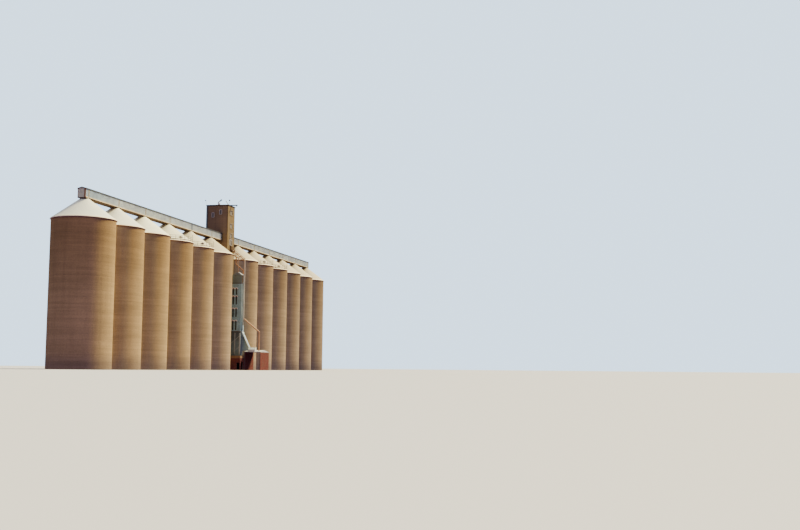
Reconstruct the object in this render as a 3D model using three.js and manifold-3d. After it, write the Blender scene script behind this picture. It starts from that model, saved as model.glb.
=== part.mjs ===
// A grain silo as a 1:10 scale model: one row of twelve round concrete bins, six on each side of
// a square elevator tower, with white cone roofs, a conveyor gallery over the peaks, and a grain
// drier, its pipes and an intake shed in front of the tower.
// Millimetres of the model, +Z up, +X along the row, the front at -Y.
// One real metre is 100 mm here. The origin is on the ground in the middle of the row.

import * as THREE from 'three';
import { mergeVertices } from 'three/addons/utils/BufferGeometryUtils.js';
import Module from 'manifold-3d';

const wasm = await Module();
wasm.setup();

// Clear gap where two pieces meet.
const GAP = 0.3;

// Bins.
const BINS_A_SIDE = 6;
const BIN_RADIUS = 745;
const BIN_PITCH = 1537;
const FIRST_BIN_X = 1147;
const BIN_WALL = 25;
const BIN_FLOOR = 50;
const BIN_WALL_TOP = 3465;
const BIN_SIDES = 32;

// Cone roofs.
const EAVE_RADIUS = 768;
const EAVE_TOP = 3505;
const EAVE_THICKNESS = 12;
const ROOF_SHELL = 18;
const PEAK_RADIUS = 100;

// Hatches and guard rails at the eaves of bins 4, 5, 8 and 9, counted from the west end.
const RAILED_BINS = [4, 5, 8, 9];
const RAIL_RADIUS = 735;
const RAIL_FROM = THREE.MathUtils.degToRad(202.5);
const RAIL_HEIGHT = 112;
const RAIL_BAR = 5;
const RAIL_POST = 7;
const RAIL_BAYS = 7;
const HATCH_ANGLE = THREE.MathUtils.degToRad(242);
const HATCH_RADIUS = 640;
const HATCH_SIZE = [70, 70, 62];

// Conveyor gallery over the peaks.
const GALLERY_UNDERSIDE = 4010;
const GALLERY_FLOOR = 15;
const GALLERY_HALF_WIDTH = 105;
const GALLERY_SHEET = 8;
const GALLERY_WALL_TOP = 4235;
const GALLERY_ROOF = 8;
const GALLERY_ROOF_OVERHANG = 7;
const GALLERY_RIDGE = 4275;
const GALLERY_PAST_LAST_BIN = 150;

// Elevator tower.
const TOWER_HALF_LENGTH = 290;
const TOWER_FRONT = -280;
const TOWER_BACK = 440;
const TOWER_WALL = 25;
const TOWER_WALL_TOP = 5130;
const TOWER_ROOF = 15;
const TOWER_ROOF_OVERHANG = 15;
const TOWER_GROUND_SLAB = 30;
const TOWER_FLOOR = 20;
const TOWER_FLOOR_TOPS = [3720, 4340, 4720];

// Openings of the tower, as [middle across, sill, width, height].
const FRONT_WINDOWS = [
  [0, 4857, 200, 130],
  [0, 4436, 200, 130],
  [0, 4126, 200, 130],
  [0, 3905, 180, 150],
];
const END_WINDOWS = [
  [220, 4755, 80, 150],
  [-34, 4844, 80, 150],
];
const TOWER_DOOR = [0, 3722, 90, 165];

// Hoist beam and floodlights on the tower's roof, with heights from the slab's top.
const HOIST_BEAM = { from: -120, to: -468, size: 16, height: 28 };
const FLOODLIGHTS = [
  { foot: [-283, 428, -3], head: [-283, 480, 150], pole: 6, lamp: 34 },
  { foot: [-283, 60, -3], head: [-283, -32, 150], pole: 14, lamp: 46 },
  { foot: [-200, -280, -3], head: [-200, -283, 150], pole: 6, lamp: 38 },
];
const FLOODLIGHT_STRUT = { from: [-283, -286, -3], to: [-283, -195, 125], size: 12 };

// Drier beside the tower's front.
const DRIER_HALF_LENGTH = 102;
const DRIER_FRONT = -710;
const DRIER_BACK = -395;
const DRIER_COLUMN_BOTTOM = 1190;
const DRIER_TOP_BIN = 2700;
const DRIER_EAVE = 2949;
const DRIER_PEAK = 3040;
const FAN_HOOD_RADIUS = 44;
const FAN_HOOD_DEPTH = 28;
const FAN_HOOD_HEIGHTS = [1505, 1885, 2265, 2512];
const FAN_HOOD_ROWS = [-550, -452];

// Brick room under the drier.
const BASE_HALF_LENGTH = 240;
const BASE_FRONT = -770;
const BASE_WALL = 23;
const BASE_FLOOR = 15;
const BASE_WALL_TOP = 370;
const BASE_TOP = 445;

// Intake shed in front of the drier.
const SHED_WEST = 100;
const SHED_EAST = 900;
const SHED_FRONT = -1300;
const SHED_WALL = 22;
const SHED_WALL_TOP = 560;
const SHED_EAVE = 573;
const SHED_RIDGE = 626;

// Pipes.
const LOADOUT_PIPE = 19;
const FEED_PIPE = 12;
const BRANCH_PIPE = 16;
const PIPE_SIDES = 8;

const vec = (x, y, z) => new THREE.Vector3(x, y, z);

function material(color, roughness, metalness = 0) {
  return new THREE.MeshStandardMaterial({ color, roughness, metalness });
}

const concrete = material('#b39a72', 0.9);
const whiteRoof = material('#dcd5c6', 0.7);
const gallerySheet = material('#c3c0b6', 0.6);
const towerConcrete = material('#9c7c58', 0.9);
const darkSlab = material('#5b5048', 0.8);
const brownSteel = material('#8d6344', 0.6, 0.2);
const drierSheet = material('#7c8984', 0.5, 0.4);
const drierDark = material('#4d5552', 0.6, 0.4);
const paleDuct = material('#bcc9c0', 0.5, 0.3);
const brick = material('#6d2f26', 0.9);
const ochrePlaster = material('#a98245', 0.9);
const shedWhite = material('#d8d4ca', 0.7);

const silo = new THREE.Group();

function add(name, geometry, finish, x = 0, y = 0, z = 0) {
  const mesh = new THREE.Mesh(geometry, finish);
  mesh.name = name;
  mesh.position.set(x, y, z);
  silo.add(mesh);
}

// A block between its lowest and highest corners.
function block(low, high) {
  const size = high.map((value, axis) => value - low[axis]);
  const middle = high.map((value, axis) => (value + low[axis]) / 2);
  return new THREE.BoxGeometry(...size).translate(...middle);
}

// Turns a shape that stands along Y so that it runs from one point to another.
function runBetween(geometry, from, to) {
  const direction = to.clone().sub(from).normalize();
  const turn = new THREE.Quaternion().setFromUnitVectors(vec(0, 1, 0), direction);
  const middle = from.clone().add(to).multiplyScalar(0.5);
  return geometry.applyQuaternion(turn).translate(middle.x, middle.y, middle.z);
}

function bar(from, to, size) {
  return runBetween(new THREE.BoxGeometry(size, from.distanceTo(to), size), from, to);
}

function tube(from, to, radius) {
  const length = from.distanceTo(to);
  return runBetween(new THREE.CylinderGeometry(radius, radius, length, PIPE_SIDES), from, to);
}

// A shape turned about the upright axis. The outline is a list of [radius, height].
function turned(outline, sides) {
  const points = outline.map(([radius, height]) => new THREE.Vector2(radius, height));
  return new THREE.LatheGeometry(points, sides).rotateX(Math.PI / 2);
}

// A closed geometry as a solid that can be joined and cut.
function solidOf(geometry) {
  const bare = geometry.clone();
  bare.deleteAttribute('normal');
  bare.deleteAttribute('uv');
  const merged = mergeVertices(bare, 0.001);
  const corners = [];
  for (let i = 0; i < merged.index.count; i += 3) {
    const [a, b, c] = [0, 1, 2].map((step) => merged.index.getX(i + step));
    if (a !== b && b !== c && c !== a) corners.push(a, b, c);
  }
  return new wasm.Manifold(new wasm.Mesh({
    numProp: 3,
    vertProperties: new Float32Array(merged.attributes.position.array),
    triVerts: new Uint32Array(corners),
  }));
}

function geometryOf(solid) {
  const mesh = solid.getMesh();
  const geometry = new THREE.BufferGeometry();
  geometry.setAttribute('position', new THREE.BufferAttribute(mesh.vertProperties, 3));
  geometry.setIndex(new THREE.BufferAttribute(mesh.triVerts, 1));
  geometry.computeVertexNormals();
  return geometry;
}

function joined(geometries) {
  return geometryOf(geometries.map(solidOf).reduce((all, next) => all.add(next)));
}

function cut(geometry, tools) {
  return geometryOf(tools.map(solidOf).reduce((rest, tool) => rest.subtract(tool), solidOf(geometry)));
}

// Bin walls and cone roofs.
const binWallOutline = [
  [0, 0],
  [BIN_RADIUS, 0],
  [BIN_RADIUS, BIN_WALL_TOP],
  [BIN_RADIUS - BIN_WALL, BIN_WALL_TOP],
  [BIN_RADIUS - BIN_WALL, BIN_FLOOR],
  [0, BIN_FLOOR],
];
const peakTop = GALLERY_UNDERSIDE - GAP;
const roofSlope = (peakTop - EAVE_TOP) / (EAVE_RADIUS - PEAK_RADIUS);
const innerRadius = BIN_RADIUS - BIN_WALL;
const roofTopAt = (radius) => EAVE_TOP + (EAVE_RADIUS - radius) * roofSlope;
const innerPeakRadius = PEAK_RADIUS - 10;
const roofOutline = [
  [0, peakTop - ROOF_SHELL],
  [innerPeakRadius, peakTop - ROOF_SHELL],
  [innerRadius, roofTopAt(innerRadius) - ROOF_SHELL],
  [innerRadius, BIN_WALL_TOP + GAP],
  [BIN_RADIUS, BIN_WALL_TOP + GAP],
  [BIN_RADIUS, EAVE_TOP - EAVE_THICKNESS],
  [EAVE_RADIUS, EAVE_TOP - EAVE_THICKNESS],
  [EAVE_RADIUS, EAVE_TOP],
  [PEAK_RADIUS, peakTop],
  [0, peakTop],
];

function roofHatch() {
  const [length, width, height] = HATCH_SIZE;
  const hatch = new THREE.BoxGeometry(length, width, height);
  const seat = roofTopAt(HATCH_RADIUS + length / 2) - ROOF_SHELL / 2;
  hatch.translate(HATCH_RADIUS, 0, seat + height / 2);
  return hatch.rotateZ(HATCH_ANGLE);
}

// Straight bars between posts, which stand on the ridges of the many-sided cone.
function guardRail() {
  const foot = roofTopAt(RAIL_RADIUS - RAIL_POST * Math.SQRT1_2) + GAP;
  const top = foot + RAIL_HEIGHT;
  const corner = (post, height) => {
    const angle = RAIL_FROM + (post * 2 * Math.PI) / BIN_SIDES;
    return vec(RAIL_RADIUS * Math.cos(angle), RAIL_RADIUS * Math.sin(angle), height);
  };
  const pieces = [];
  for (let post = 0; post <= RAIL_BAYS; post += 1) {
    pieces.push(bar(corner(post, foot), corner(post, top), RAIL_POST));
    if (post === RAIL_BAYS) break;
    for (const height of [foot + RAIL_HEIGHT / 2, top - RAIL_BAR]) {
      pieces.push(bar(corner(post, height), corner(post + 1, height), RAIL_BAR));
    }
  }
  return joined(pieces);
}

const binX = [];
for (let place = BINS_A_SIDE - 1; place >= 0; place -= 1) binX.push(-FIRST_BIN_X - place * BIN_PITCH);
for (let place = 0; place < BINS_A_SIDE; place += 1) binX.push(FIRST_BIN_X + place * BIN_PITCH);

binX.forEach((x, place) => {
  const number = place + 1;
  const label = `bin_${String(number).padStart(2, '0')}`;
  const plainRoof = turned(roofOutline, BIN_SIDES);
  const railed = RAILED_BINS.includes(number);
  add(`${label}_wall`, turned(binWallOutline, BIN_SIDES), concrete, x);
  add(`${label}_roof`, railed ? joined([plainRoof, roofHatch()]) : plainRoof, whiteRoof, x);
  if (railed) add(`${label}_guard_rail`, guardRail(), brownSteel, x);
});

// Conveyor galleries: a floor, two sheeted sides, a low gable roof and an end wall on each side of the tower.
const galleryFloorTop = GALLERY_UNDERSIDE + GALLERY_FLOOR;
const galleryInnerWidth = GALLERY_HALF_WIDTH - GALLERY_SHEET;
const galleryFar = binX.at(-1) + GALLERY_PAST_LAST_BIN;
const galleryNear = TOWER_HALF_LENGTH + GAP;

// A block of the east gallery, or its mirror image on the west side.
function galleryBlock(side, near, far, low, high) {
  const ends = side > 0 ? [near, far] : [-far, -near];
  return block([ends[0], low[0], low[1]], [ends[1], high[0], high[1]]);
}

// A section across the east gallery, as a list of [across, up], carried along it, or its mirror image.
function galleryLength(side, near, far, section) {
  const shape = new THREE.Shape(section.map(([across, up]) => new THREE.Vector2(across, up)));
  const length = new THREE.ExtrudeGeometry(shape, { depth: far - near, bevelEnabled: false });
  length.rotateX(Math.PI / 2).rotateZ(Math.PI / 2);
  return length.translate(side > 0 ? near : -far, 0, 0);
}

for (const [label, side] of [['gallery_west', -1], ['gallery_east', 1]]) {
  const wallFar = galleryFar - GALLERY_SHEET - GAP;
  const wallLow = galleryFloorTop + GAP;
  const half = GALLERY_HALF_WIDTH;
  const roofHalf = half + GALLERY_ROOF_OVERHANG;
  const roofFar = galleryFar + GALLERY_ROOF_OVERHANG;
  const roofLow = GALLERY_WALL_TOP + GAP;
  const floor = galleryBlock(side, galleryNear, galleryFar, [-half, GALLERY_UNDERSIDE], [half, galleryFloorTop]);
  const front = galleryBlock(side, galleryNear, wallFar, [-half, wallLow], [-galleryInnerWidth, GALLERY_WALL_TOP]);
  const back = galleryBlock(side, galleryNear, wallFar, [galleryInnerWidth, wallLow], [half, GALLERY_WALL_TOP]);
  const end = galleryLength(side, wallFar + GAP, galleryFar, [
    [-half, wallLow],
    [half, wallLow],
    [half, GALLERY_WALL_TOP],
    [galleryInnerWidth, GALLERY_WALL_TOP],
    [0, GALLERY_RIDGE - GALLERY_ROOF - GAP],
    [-galleryInnerWidth, GALLERY_WALL_TOP],
    [-half, GALLERY_WALL_TOP],
  ]);
  const roof = galleryLength(side, galleryNear, roofFar, [
    [-roofHalf, roofLow],
    [-galleryInnerWidth, roofLow],
    [0, GALLERY_RIDGE - GALLERY_ROOF],
    [galleryInnerWidth, roofLow],
    [roofHalf, roofLow],
    [roofHalf, roofLow + GALLERY_ROOF],
    [0, GALLERY_RIDGE],
    [-roofHalf, roofLow + GALLERY_ROOF],
  ]);
  add(`${label}_floor`, floor, darkSlab);
  add(`${label}_front_wall`, front, gallerySheet);
  add(`${label}_back_wall`, back, gallerySheet);
  add(`${label}_end_wall`, end, gallerySheet);
  add(`${label}_roof`, roof, gallerySheet);
}

// Elevator tower.
const towerInnerX = TOWER_HALF_LENGTH - TOWER_WALL;
const towerInnerFront = TOWER_FRONT + TOWER_WALL;
const towerInnerBack = TOWER_BACK - TOWER_WALL;
const THROUGH = 10;

// The hole for a window or door in a wall that faces along Y.
function holeAlongY([middle, sill, width, height], wallLow, wallHigh) {
  return block([middle - width / 2, wallLow - THROUGH, sill], [middle + width / 2, wallHigh + THROUGH, sill + height]);
}

// The same in a wall that faces along X.
function holeAlongX([middle, sill, width, height], wallLow, wallHigh) {
  return block([wallLow - THROUGH, middle - width / 2, sill], [wallHigh + THROUGH, middle + width / 2, sill + height]);
}

const frontHoles = [...FRONT_WINDOWS, TOWER_DOOR].map((hole) => holeAlongY(hole, TOWER_FRONT, towerInnerFront));
const backHoles = FRONT_WINDOWS.map((hole) => holeAlongY(hole, towerInnerBack, TOWER_BACK));
const galleryHole = [0, galleryFloorTop, 2 * galleryInnerWidth, GALLERY_WALL_TOP - galleryFloorTop];
const endHoles = [...END_WINDOWS, galleryHole];
const frontWall = block([-TOWER_HALF_LENGTH, TOWER_FRONT, 0], [TOWER_HALF_LENGTH, towerInnerFront, TOWER_WALL_TOP]);
const backWall = block([-TOWER_HALF_LENGTH, towerInnerBack, 0], [TOWER_HALF_LENGTH, TOWER_BACK, TOWER_WALL_TOP]);
add('tower_front_wall', cut(frontWall, frontHoles), towerConcrete);
add('tower_back_wall', cut(backWall, backHoles), towerConcrete);
for (const [name, low, high] of [
  ['tower_west_wall', -TOWER_HALF_LENGTH, -towerInnerX],
  ['tower_east_wall', towerInnerX, TOWER_HALF_LENGTH],
]) {
  const wall = block([low, towerInnerFront + GAP, 0], [high, towerInnerBack - GAP, TOWER_WALL_TOP]);
  add(name, cut(wall, endHoles.map((hole) => holeAlongX(hole, low, high))), towerConcrete);
}

function towerSlab(low, high) {
  const half = towerInnerX - GAP;
  return block([-half, towerInnerFront + GAP, low], [half, towerInnerBack - GAP, high]);
}

add('tower_ground_floor', towerSlab(0, TOWER_GROUND_SLAB), darkSlab);
TOWER_FLOOR_TOPS.forEach((top, storey) => {
  add(`tower_floor_${storey + 1}`, towerSlab(top - TOWER_FLOOR, top), darkSlab);
});

// The tower's roof slab with a hoist beam over the front and floodlights on the west edge.
function towerRoof() {
  const low = TOWER_WALL_TOP + GAP;
  const top = low + TOWER_ROOF;
  const half = TOWER_HALF_LENGTH + TOWER_ROOF_OVERHANG;
  const front = TOWER_FRONT - TOWER_ROOF_OVERHANG;
  const back = TOWER_BACK + TOWER_ROOF_OVERHANG;
  const pieces = [block([-half, front, low], [half, back, top])];
  const beamHalf = HOIST_BEAM.size / 2;
  const beamLow = top + HOIST_BEAM.height - HOIST_BEAM.size;
  pieces.push(block([-beamHalf, HOIST_BEAM.to, beamLow], [beamHalf, HOIST_BEAM.from, beamLow + HOIST_BEAM.size]));
  for (const y of [HOIST_BEAM.from - 20, TOWER_FRONT + 15]) {
    pieces.push(block([-beamHalf, y - beamHalf, top - 5], [beamHalf, y + beamHalf, beamLow + 5]));
  }
  const onRoof = ([x, y, height]) => vec(x, y, top + height);
  for (const { foot, head, pole, lamp } of FLOODLIGHTS) {
    const centre = onRoof(head);
    pieces.push(bar(onRoof(foot), centre, pole));
    pieces.push(new THREE.BoxGeometry(lamp / 2, lamp, lamp).translate(centre.x, centre.y, centre.z));
  }
  pieces.push(bar(onRoof(FLOODLIGHT_STRUT.from), onRoof(FLOODLIGHT_STRUT.to), FLOODLIGHT_STRUT.size));
  return joined(pieces);
}

add('tower_roof', towerRoof(), darkSlab);

// Brick room under the drier, its concrete roof, and the drier's hopper and frame on that.
const baseBack = TOWER_FRONT - GAP;

function baseWalls() {
  const shell = block([-BASE_HALF_LENGTH, BASE_FRONT, 0], [BASE_HALF_LENGTH, baseBack, BASE_WALL_TOP]);
  const inside = block(
    [-BASE_HALF_LENGTH + BASE_WALL, BASE_FRONT + BASE_WALL, BASE_FLOOR],
    [BASE_HALF_LENGTH - BASE_WALL, baseBack - BASE_WALL, BASE_WALL_TOP + THROUGH],
  );
  const sideDoor = [-703, BASE_FLOOR, 90, 210];
  const frontDoor = [-70, BASE_FLOOR, 160, 235];
  return cut(shell, [
    inside,
    holeAlongX(sideDoor, -BASE_HALF_LENGTH, -BASE_HALF_LENGTH + BASE_WALL),
    holeAlongY(frontDoor, BASE_FRONT, BASE_FRONT + BASE_WALL),
  ]);
}

add('drier_base_walls', baseWalls(), brick);
const baseRoofLow = BASE_WALL_TOP + GAP;
const baseRoof = block([-BASE_HALF_LENGTH, BASE_FRONT, baseRoofLow], [BASE_HALF_LENGTH, baseBack, BASE_TOP]);
add('drier_base_roof', baseRoof, ochrePlaster);

// A four-sided hopper or hood: a rectangle that narrows to a smaller one.
const drierMiddleY = (DRIER_FRONT + DRIER_BACK) / 2;
const drierHalfWidth = (DRIER_BACK - DRIER_FRONT) / 2;

function taper(bottomHalf, topHalf, low, high) {
  const stretch = drierHalfWidth / DRIER_HALF_LENGTH;
  const shape = new THREE.CylinderGeometry(topHalf * Math.SQRT2, bottomHalf * Math.SQRT2, high - low, 4);
  shape.rotateY(Math.PI / 4);
  shape.rotateX(Math.PI / 2);
  shape.scale(1, stretch, 1);
  return shape.translate(0, drierMiddleY, (low + high) / 2);
}

function hopperFrame() {
  const post = 12;
  const foot = BASE_TOP + GAP;
  const ring = DRIER_COLUMN_BOTTOM - 40;
  const middle = (foot + ring) / 2;
  const corners = [];
  for (const x of [-DRIER_HALF_LENGTH, DRIER_HALF_LENGTH - post]) {
    for (const y of [DRIER_FRONT, DRIER_BACK - post]) corners.push([x, y]);
  }
  const pieces = corners.map(([x, y]) => block([x, y, foot], [x + post, y + post, DRIER_COLUMN_BOTTOM]));
  const half = DRIER_HALF_LENGTH;
  for (const z of [middle, ring]) {
    pieces.push(block([-half, DRIER_FRONT, z], [half, DRIER_FRONT + post, z + post]));
    pieces.push(block([-half, DRIER_BACK - post, z], [half, DRIER_BACK, z + post]));
    pieces.push(block([-half, DRIER_FRONT, z], [-half + post, DRIER_BACK, z + post]));
    pieces.push(block([half - post, DRIER_FRONT, z], [half, DRIER_BACK, z + post]));
  }
  pieces.push(block([-half, DRIER_FRONT, ring], [half, DRIER_BACK, DRIER_COLUMN_BOTTOM]));
  const panel = post / 2;
  pieces.push(block([-half + panel, DRIER_FRONT + panel, foot], [half - panel, DRIER_BACK - panel, ring + 5]));
  return joined(pieces);
}

add('drier_hopper_frame', hopperFrame(), drierDark);

function drierColumn() {
  const low = [-DRIER_HALF_LENGTH, DRIER_FRONT, DRIER_COLUMN_BOTTOM + GAP];
  const pieces = [block(low, [DRIER_HALF_LENGTH, DRIER_BACK, DRIER_TOP_BIN])];
  for (const y of FAN_HOOD_ROWS) {
    for (const z of FAN_HOOD_HEIGHTS) {
      const outer = vec(-DRIER_HALF_LENGTH - FAN_HOOD_DEPTH, y, z);
      pieces.push(tube(outer, vec(-DRIER_HALF_LENGTH + 5, y, z), FAN_HOOD_RADIUS));
    }
  }
  return joined(pieces);
}

add('drier_column', drierColumn(), drierSheet);

// The bin on top of the drier has a hipped lid with an inlet at its peak and one near its corner.
const CORNER_INLET = [84, -686];
const CORNER_INLET_TOP = 2975;

function drierTopBin() {
  const half = DRIER_HALF_LENGTH;
  const [x, y] = CORNER_INLET;
  return joined([
    block([-half, DRIER_FRONT, DRIER_TOP_BIN + GAP], [half, DRIER_BACK, DRIER_EAVE]),
    taper(half + 5, 14, DRIER_EAVE - 4, DRIER_PEAK),
    tube(vec(x, y, DRIER_EAVE - 10), vec(x, y, CORNER_INLET_TOP), BRANCH_PIPE + 3),
  ]);
}

add('drier_top_bin', drierTopBin(), drierSheet);

// Intake shed: a drive-through with two long walls and a low gable roof, its ridge across the row.
const shedBack = BASE_FRONT - GAP;
const shedWallTop = SHED_WALL_TOP - GAP;
const shedMiddle = (SHED_WEST + SHED_EAST) / 2;

// A shape that has the same section from the shed's front to its back, as a list of [along, up].
function shedLength(section, front, back) {
  const shape = new THREE.Shape(section.map(([along, up]) => new THREE.Vector2(along, up)));
  const length = new THREE.ExtrudeGeometry(shape, { depth: back - front, bevelEnabled: false });
  return length.rotateX(Math.PI / 2).translate(0, back, 0);
}

const shedRoofSection = (lift, bottom) => [
  [SHED_WEST, bottom],
  [SHED_EAST, bottom],
  [SHED_EAST, SHED_EAVE + lift],
  [shedMiddle, SHED_RIDGE + lift],
  [SHED_WEST, SHED_EAVE + lift],
];
const shedRoof = shedLength(shedRoofSection(0, SHED_WALL_TOP), SHED_FRONT, shedBack);
const shedFrontWall = block([SHED_WEST, SHED_FRONT, 0], [SHED_EAST, SHED_FRONT + SHED_WALL, shedWallTop]);
const shedBackWall = block([SHED_WEST, shedBack - SHED_WALL, 0], [SHED_EAST, shedBack, shedWallTop]);
add('intake_shed_roof', shedRoof, shedWhite);
add('intake_shed_front_wall', shedFrontWall, brick);
add('intake_shed_back_wall', shedBackWall, brick);

// Keeps what stands on the shed's roof clear of it.
const shedRoofSpace = shedLength(shedRoofSection(GAP, 0), SHED_FRONT, shedBack + GAP);

// Round pipes along straight runs, with a collar at each bend.
function pipeRuns(points, radius) {
  const pieces = [];
  points.slice(1).forEach((point, place) => pieces.push(tube(points[place], point, radius)));
  points.slice(1, -1).forEach((bend) => {
    pieces.push(new THREE.SphereGeometry(radius * 1.2, PIPE_SIDES, 4).translate(bend.x, bend.y, bend.z));
  });
  return pieces;
}

// Keeps a piece clear of the tower's front face.
const towerFace = block([-600, TOWER_FRONT - GAP, 0], [600, TOWER_BACK, 6000]);

const feedStart = vec(60, TOWER_FRONT + 20, 3652);
const feedBend = vec(0, drierMiddleY, 3478);
const feedEnd = vec(0, drierMiddleY, DRIER_PEAK + GAP);
const branchStart = feedStart.clone().lerp(feedBend, 0.71);
const [inletX, inletY] = CORNER_INLET;
const branchRun = [
  branchStart,
  vec(branchStart.x, branchStart.y, 3307),
  vec(inletX, inletY, 3109),
  vec(inletX, inletY, CORNER_INLET_TOP + GAP),
];
const feedPipes = [...pipeRuns([feedStart, feedBend, feedEnd], FEED_PIPE), ...pipeRuns(branchRun, BRANCH_PIPE)];
add('drier_feed_pipes', cut(joined(feedPipes), [towerFace]), brownSteel);

// Load-out pipe: from the tower down the bridge, beside the drier, and out to the shed's roof.
const pipeX = 130;
const pipeY = -712;
const loadoutRun = [
  vec(pipeX, TOWER_FRONT + 20, 3779),
  vec(pipeX, pipeY, 3440),
  vec(pipeX, pipeY, 1606),
  vec(200, -1216, 1188),
  vec(200, -1216, SHED_WALL_TOP),
];
const loadoutPipe = joined(pipeRuns(loadoutRun, LOADOUT_PIPE));
add('loadout_pipe', cut(loadoutPipe, [towerFace, shedRoofSpace]), brownSteel);

// Lattice bridge that carries the load-out pipe. Its last lower cross bar clasps the pipe.
function spoutBridge() {
  const angle = 8;
  const bays = 4;
  const frames = [pipeX - 41, pipeX + 41];
  const upper = [vec(0, TOWER_FRONT, 3812), vec(0, pipeY, 3490)];
  const lower = [vec(0, TOWER_FRONT, 3636), vec(0, pipeY, 3400)];
  const at = (chord, x, share) => chord[0].clone().lerp(chord[1], share).setX(x);
  const pieces = [];
  for (const x of frames) {
    pieces.push(bar(at(upper, x, -0.02), at(upper, x, 1), angle), bar(at(lower, x, -0.02), at(lower, x, 1), angle));
    for (let bay = 0; bay <= bays; bay += 1) {
      pieces.push(bar(at(lower, x, bay / bays), at(upper, x, bay / bays), angle));
      if (bay < bays) pieces.push(bar(at(lower, x, bay / bays), at(upper, x, (bay + 1) / bays), angle));
    }
  }
  for (const chord of [upper, lower]) {
    for (let bay = 0; bay <= bays; bay += 1) {
      pieces.push(bar(at(chord, frames[0], bay / bays), at(chord, frames[1], bay / bays), angle));
    }
  }
  return cut(joined(pieces), [towerFace, ...pipeRuns(loadoutRun, LOADOUT_PIPE + GAP)]);
}

add('spout_bridge', spoutBridge(), brownSteel);

// The railed platform at the tower's upper door.
function doorPlatform() {
  const [west, east, front, deck] = [-118, 82, -392, 3718];
  const railTop = deck + 125;
  const post = 7;
  const back = TOWER_FRONT - GAP;
  const pieces = [block([west, front, deck - 12], [east, back, deck])];
  for (const x of [west, (west + east - post) / 2, east - post]) {
    pieces.push(block([x, front, deck - 5], [x + post, front + post, railTop]));
  }
  for (const x of [west, east - post]) {
    pieces.push(block([x, back - post, deck - 5], [x + post, back, railTop]));
    pieces.push(bar(vec(x + post / 2, back - 4, deck - 110), vec(x + post / 2, front + 10, deck - 8), post));
  }
  for (const z of [railTop - post, deck + 58]) {
    pieces.push(block([west, front, z], [east, front + post, z + post]));
    pieces.push(block([west, front, z], [west + post, back, z + post]));
    pieces.push(block([east - post, front, z], [east, back, z + post]));
  }
  return cut(joined(pieces), [towerFace]);
}

add('tower_door_platform', doorPlatform(), brownSteel);

// Discharge duct: a pipe down the drier's front, a sloping duct with a sheet under it, and a box with
// a sloping lid on the shed's roof.
function dischargeDuct() {
  const face = DRIER_FRONT - GAP;
  const slopeTop = vec(48, face + 20, 1232);
  const slopeFoot = vec(118, -925, 690);
  const sheet = new THREE.Shape([
    new THREE.Vector2(face - 1, 1110),
    new THREE.Vector2(face - 1, 600),
    new THREE.Vector2(-905, 600),
    new THREE.Vector2(-905, 735),
  ]);
  const plate = new THREE.ExtrudeGeometry(sheet, { depth: 10, bevelEnabled: false });
  plate.rotateX(Math.PI / 2).rotateZ(Math.PI / 2).translate(102, 0, 0);
  const box = shedLength([[110, 560], [270, 560], [270, 705], [190, 705], [110, 640]], -1110, -890);
  const body = joined([
    tube(vec(57, face - 19, 1390), vec(57, face - 19, 1200), 18),
    bar(slopeTop, slopeFoot, 52),
    plate,
    box,
  ]);
  return cut(body, [block([-200, face, 0], [200, DRIER_BACK, 3000]), shedRoofSpace]);
}

add('drier_discharge_duct', dischargeDuct(), paleDuct);

export default silo;
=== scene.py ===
import math
import random

import bmesh
import bpy
from mathutils import Matrix, Vector


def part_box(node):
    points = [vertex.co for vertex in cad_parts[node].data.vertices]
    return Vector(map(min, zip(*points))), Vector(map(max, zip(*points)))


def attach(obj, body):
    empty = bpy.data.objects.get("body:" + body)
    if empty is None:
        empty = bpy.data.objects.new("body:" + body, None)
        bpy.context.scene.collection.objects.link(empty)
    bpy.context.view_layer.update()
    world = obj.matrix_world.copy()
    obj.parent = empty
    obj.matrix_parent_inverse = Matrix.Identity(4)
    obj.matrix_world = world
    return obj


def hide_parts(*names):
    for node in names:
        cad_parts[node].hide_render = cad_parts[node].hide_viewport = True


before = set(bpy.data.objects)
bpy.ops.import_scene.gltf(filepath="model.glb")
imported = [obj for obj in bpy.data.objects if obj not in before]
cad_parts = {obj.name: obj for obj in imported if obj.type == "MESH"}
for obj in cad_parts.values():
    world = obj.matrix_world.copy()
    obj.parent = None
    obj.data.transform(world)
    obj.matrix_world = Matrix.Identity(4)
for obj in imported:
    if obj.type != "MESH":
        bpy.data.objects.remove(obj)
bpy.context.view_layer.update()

# The camera stands off the row's west end, a little in front of its line, and looks along it and
# slightly up. Its place and turn are those that the photograph was taken with.
CAMERA_PLACE = Vector((-32.1185, -12.6105, 0.0793))
YAW = math.radians(77.902)
PITCH = math.radians(5.459)
ROLL = math.radians(0.531)
FOCAL_LENGTH = 48.98
SENSOR_WIDTH = 36.0
FARTHEST_SEEN = 1000.0


def into_scene(name, data):
    """A scene object for a mesh, a lamp or a camera."""
    item = bpy.data.objects.new(name, data)
    bpy.context.scene.collection.objects.link(item)
    return item


camera_data = bpy.data.cameras.new("camera")
camera_data.lens = FOCAL_LENGTH
camera_data.sensor_width = SENSOR_WIDTH
camera_data.clip_end = FARTHEST_SEEN
camera = into_scene("camera", camera_data)
camera.matrix_world = (
    Matrix.Translation(CAMERA_PLACE)
    @ Matrix.Rotation(-YAW, 4, "Z")
    @ Matrix.Rotation(math.radians(90) + PITCH, 4, "X")
    @ Matrix.Rotation(ROLL, 4, "Z")
)
bpy.context.scene.camera = camera

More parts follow.
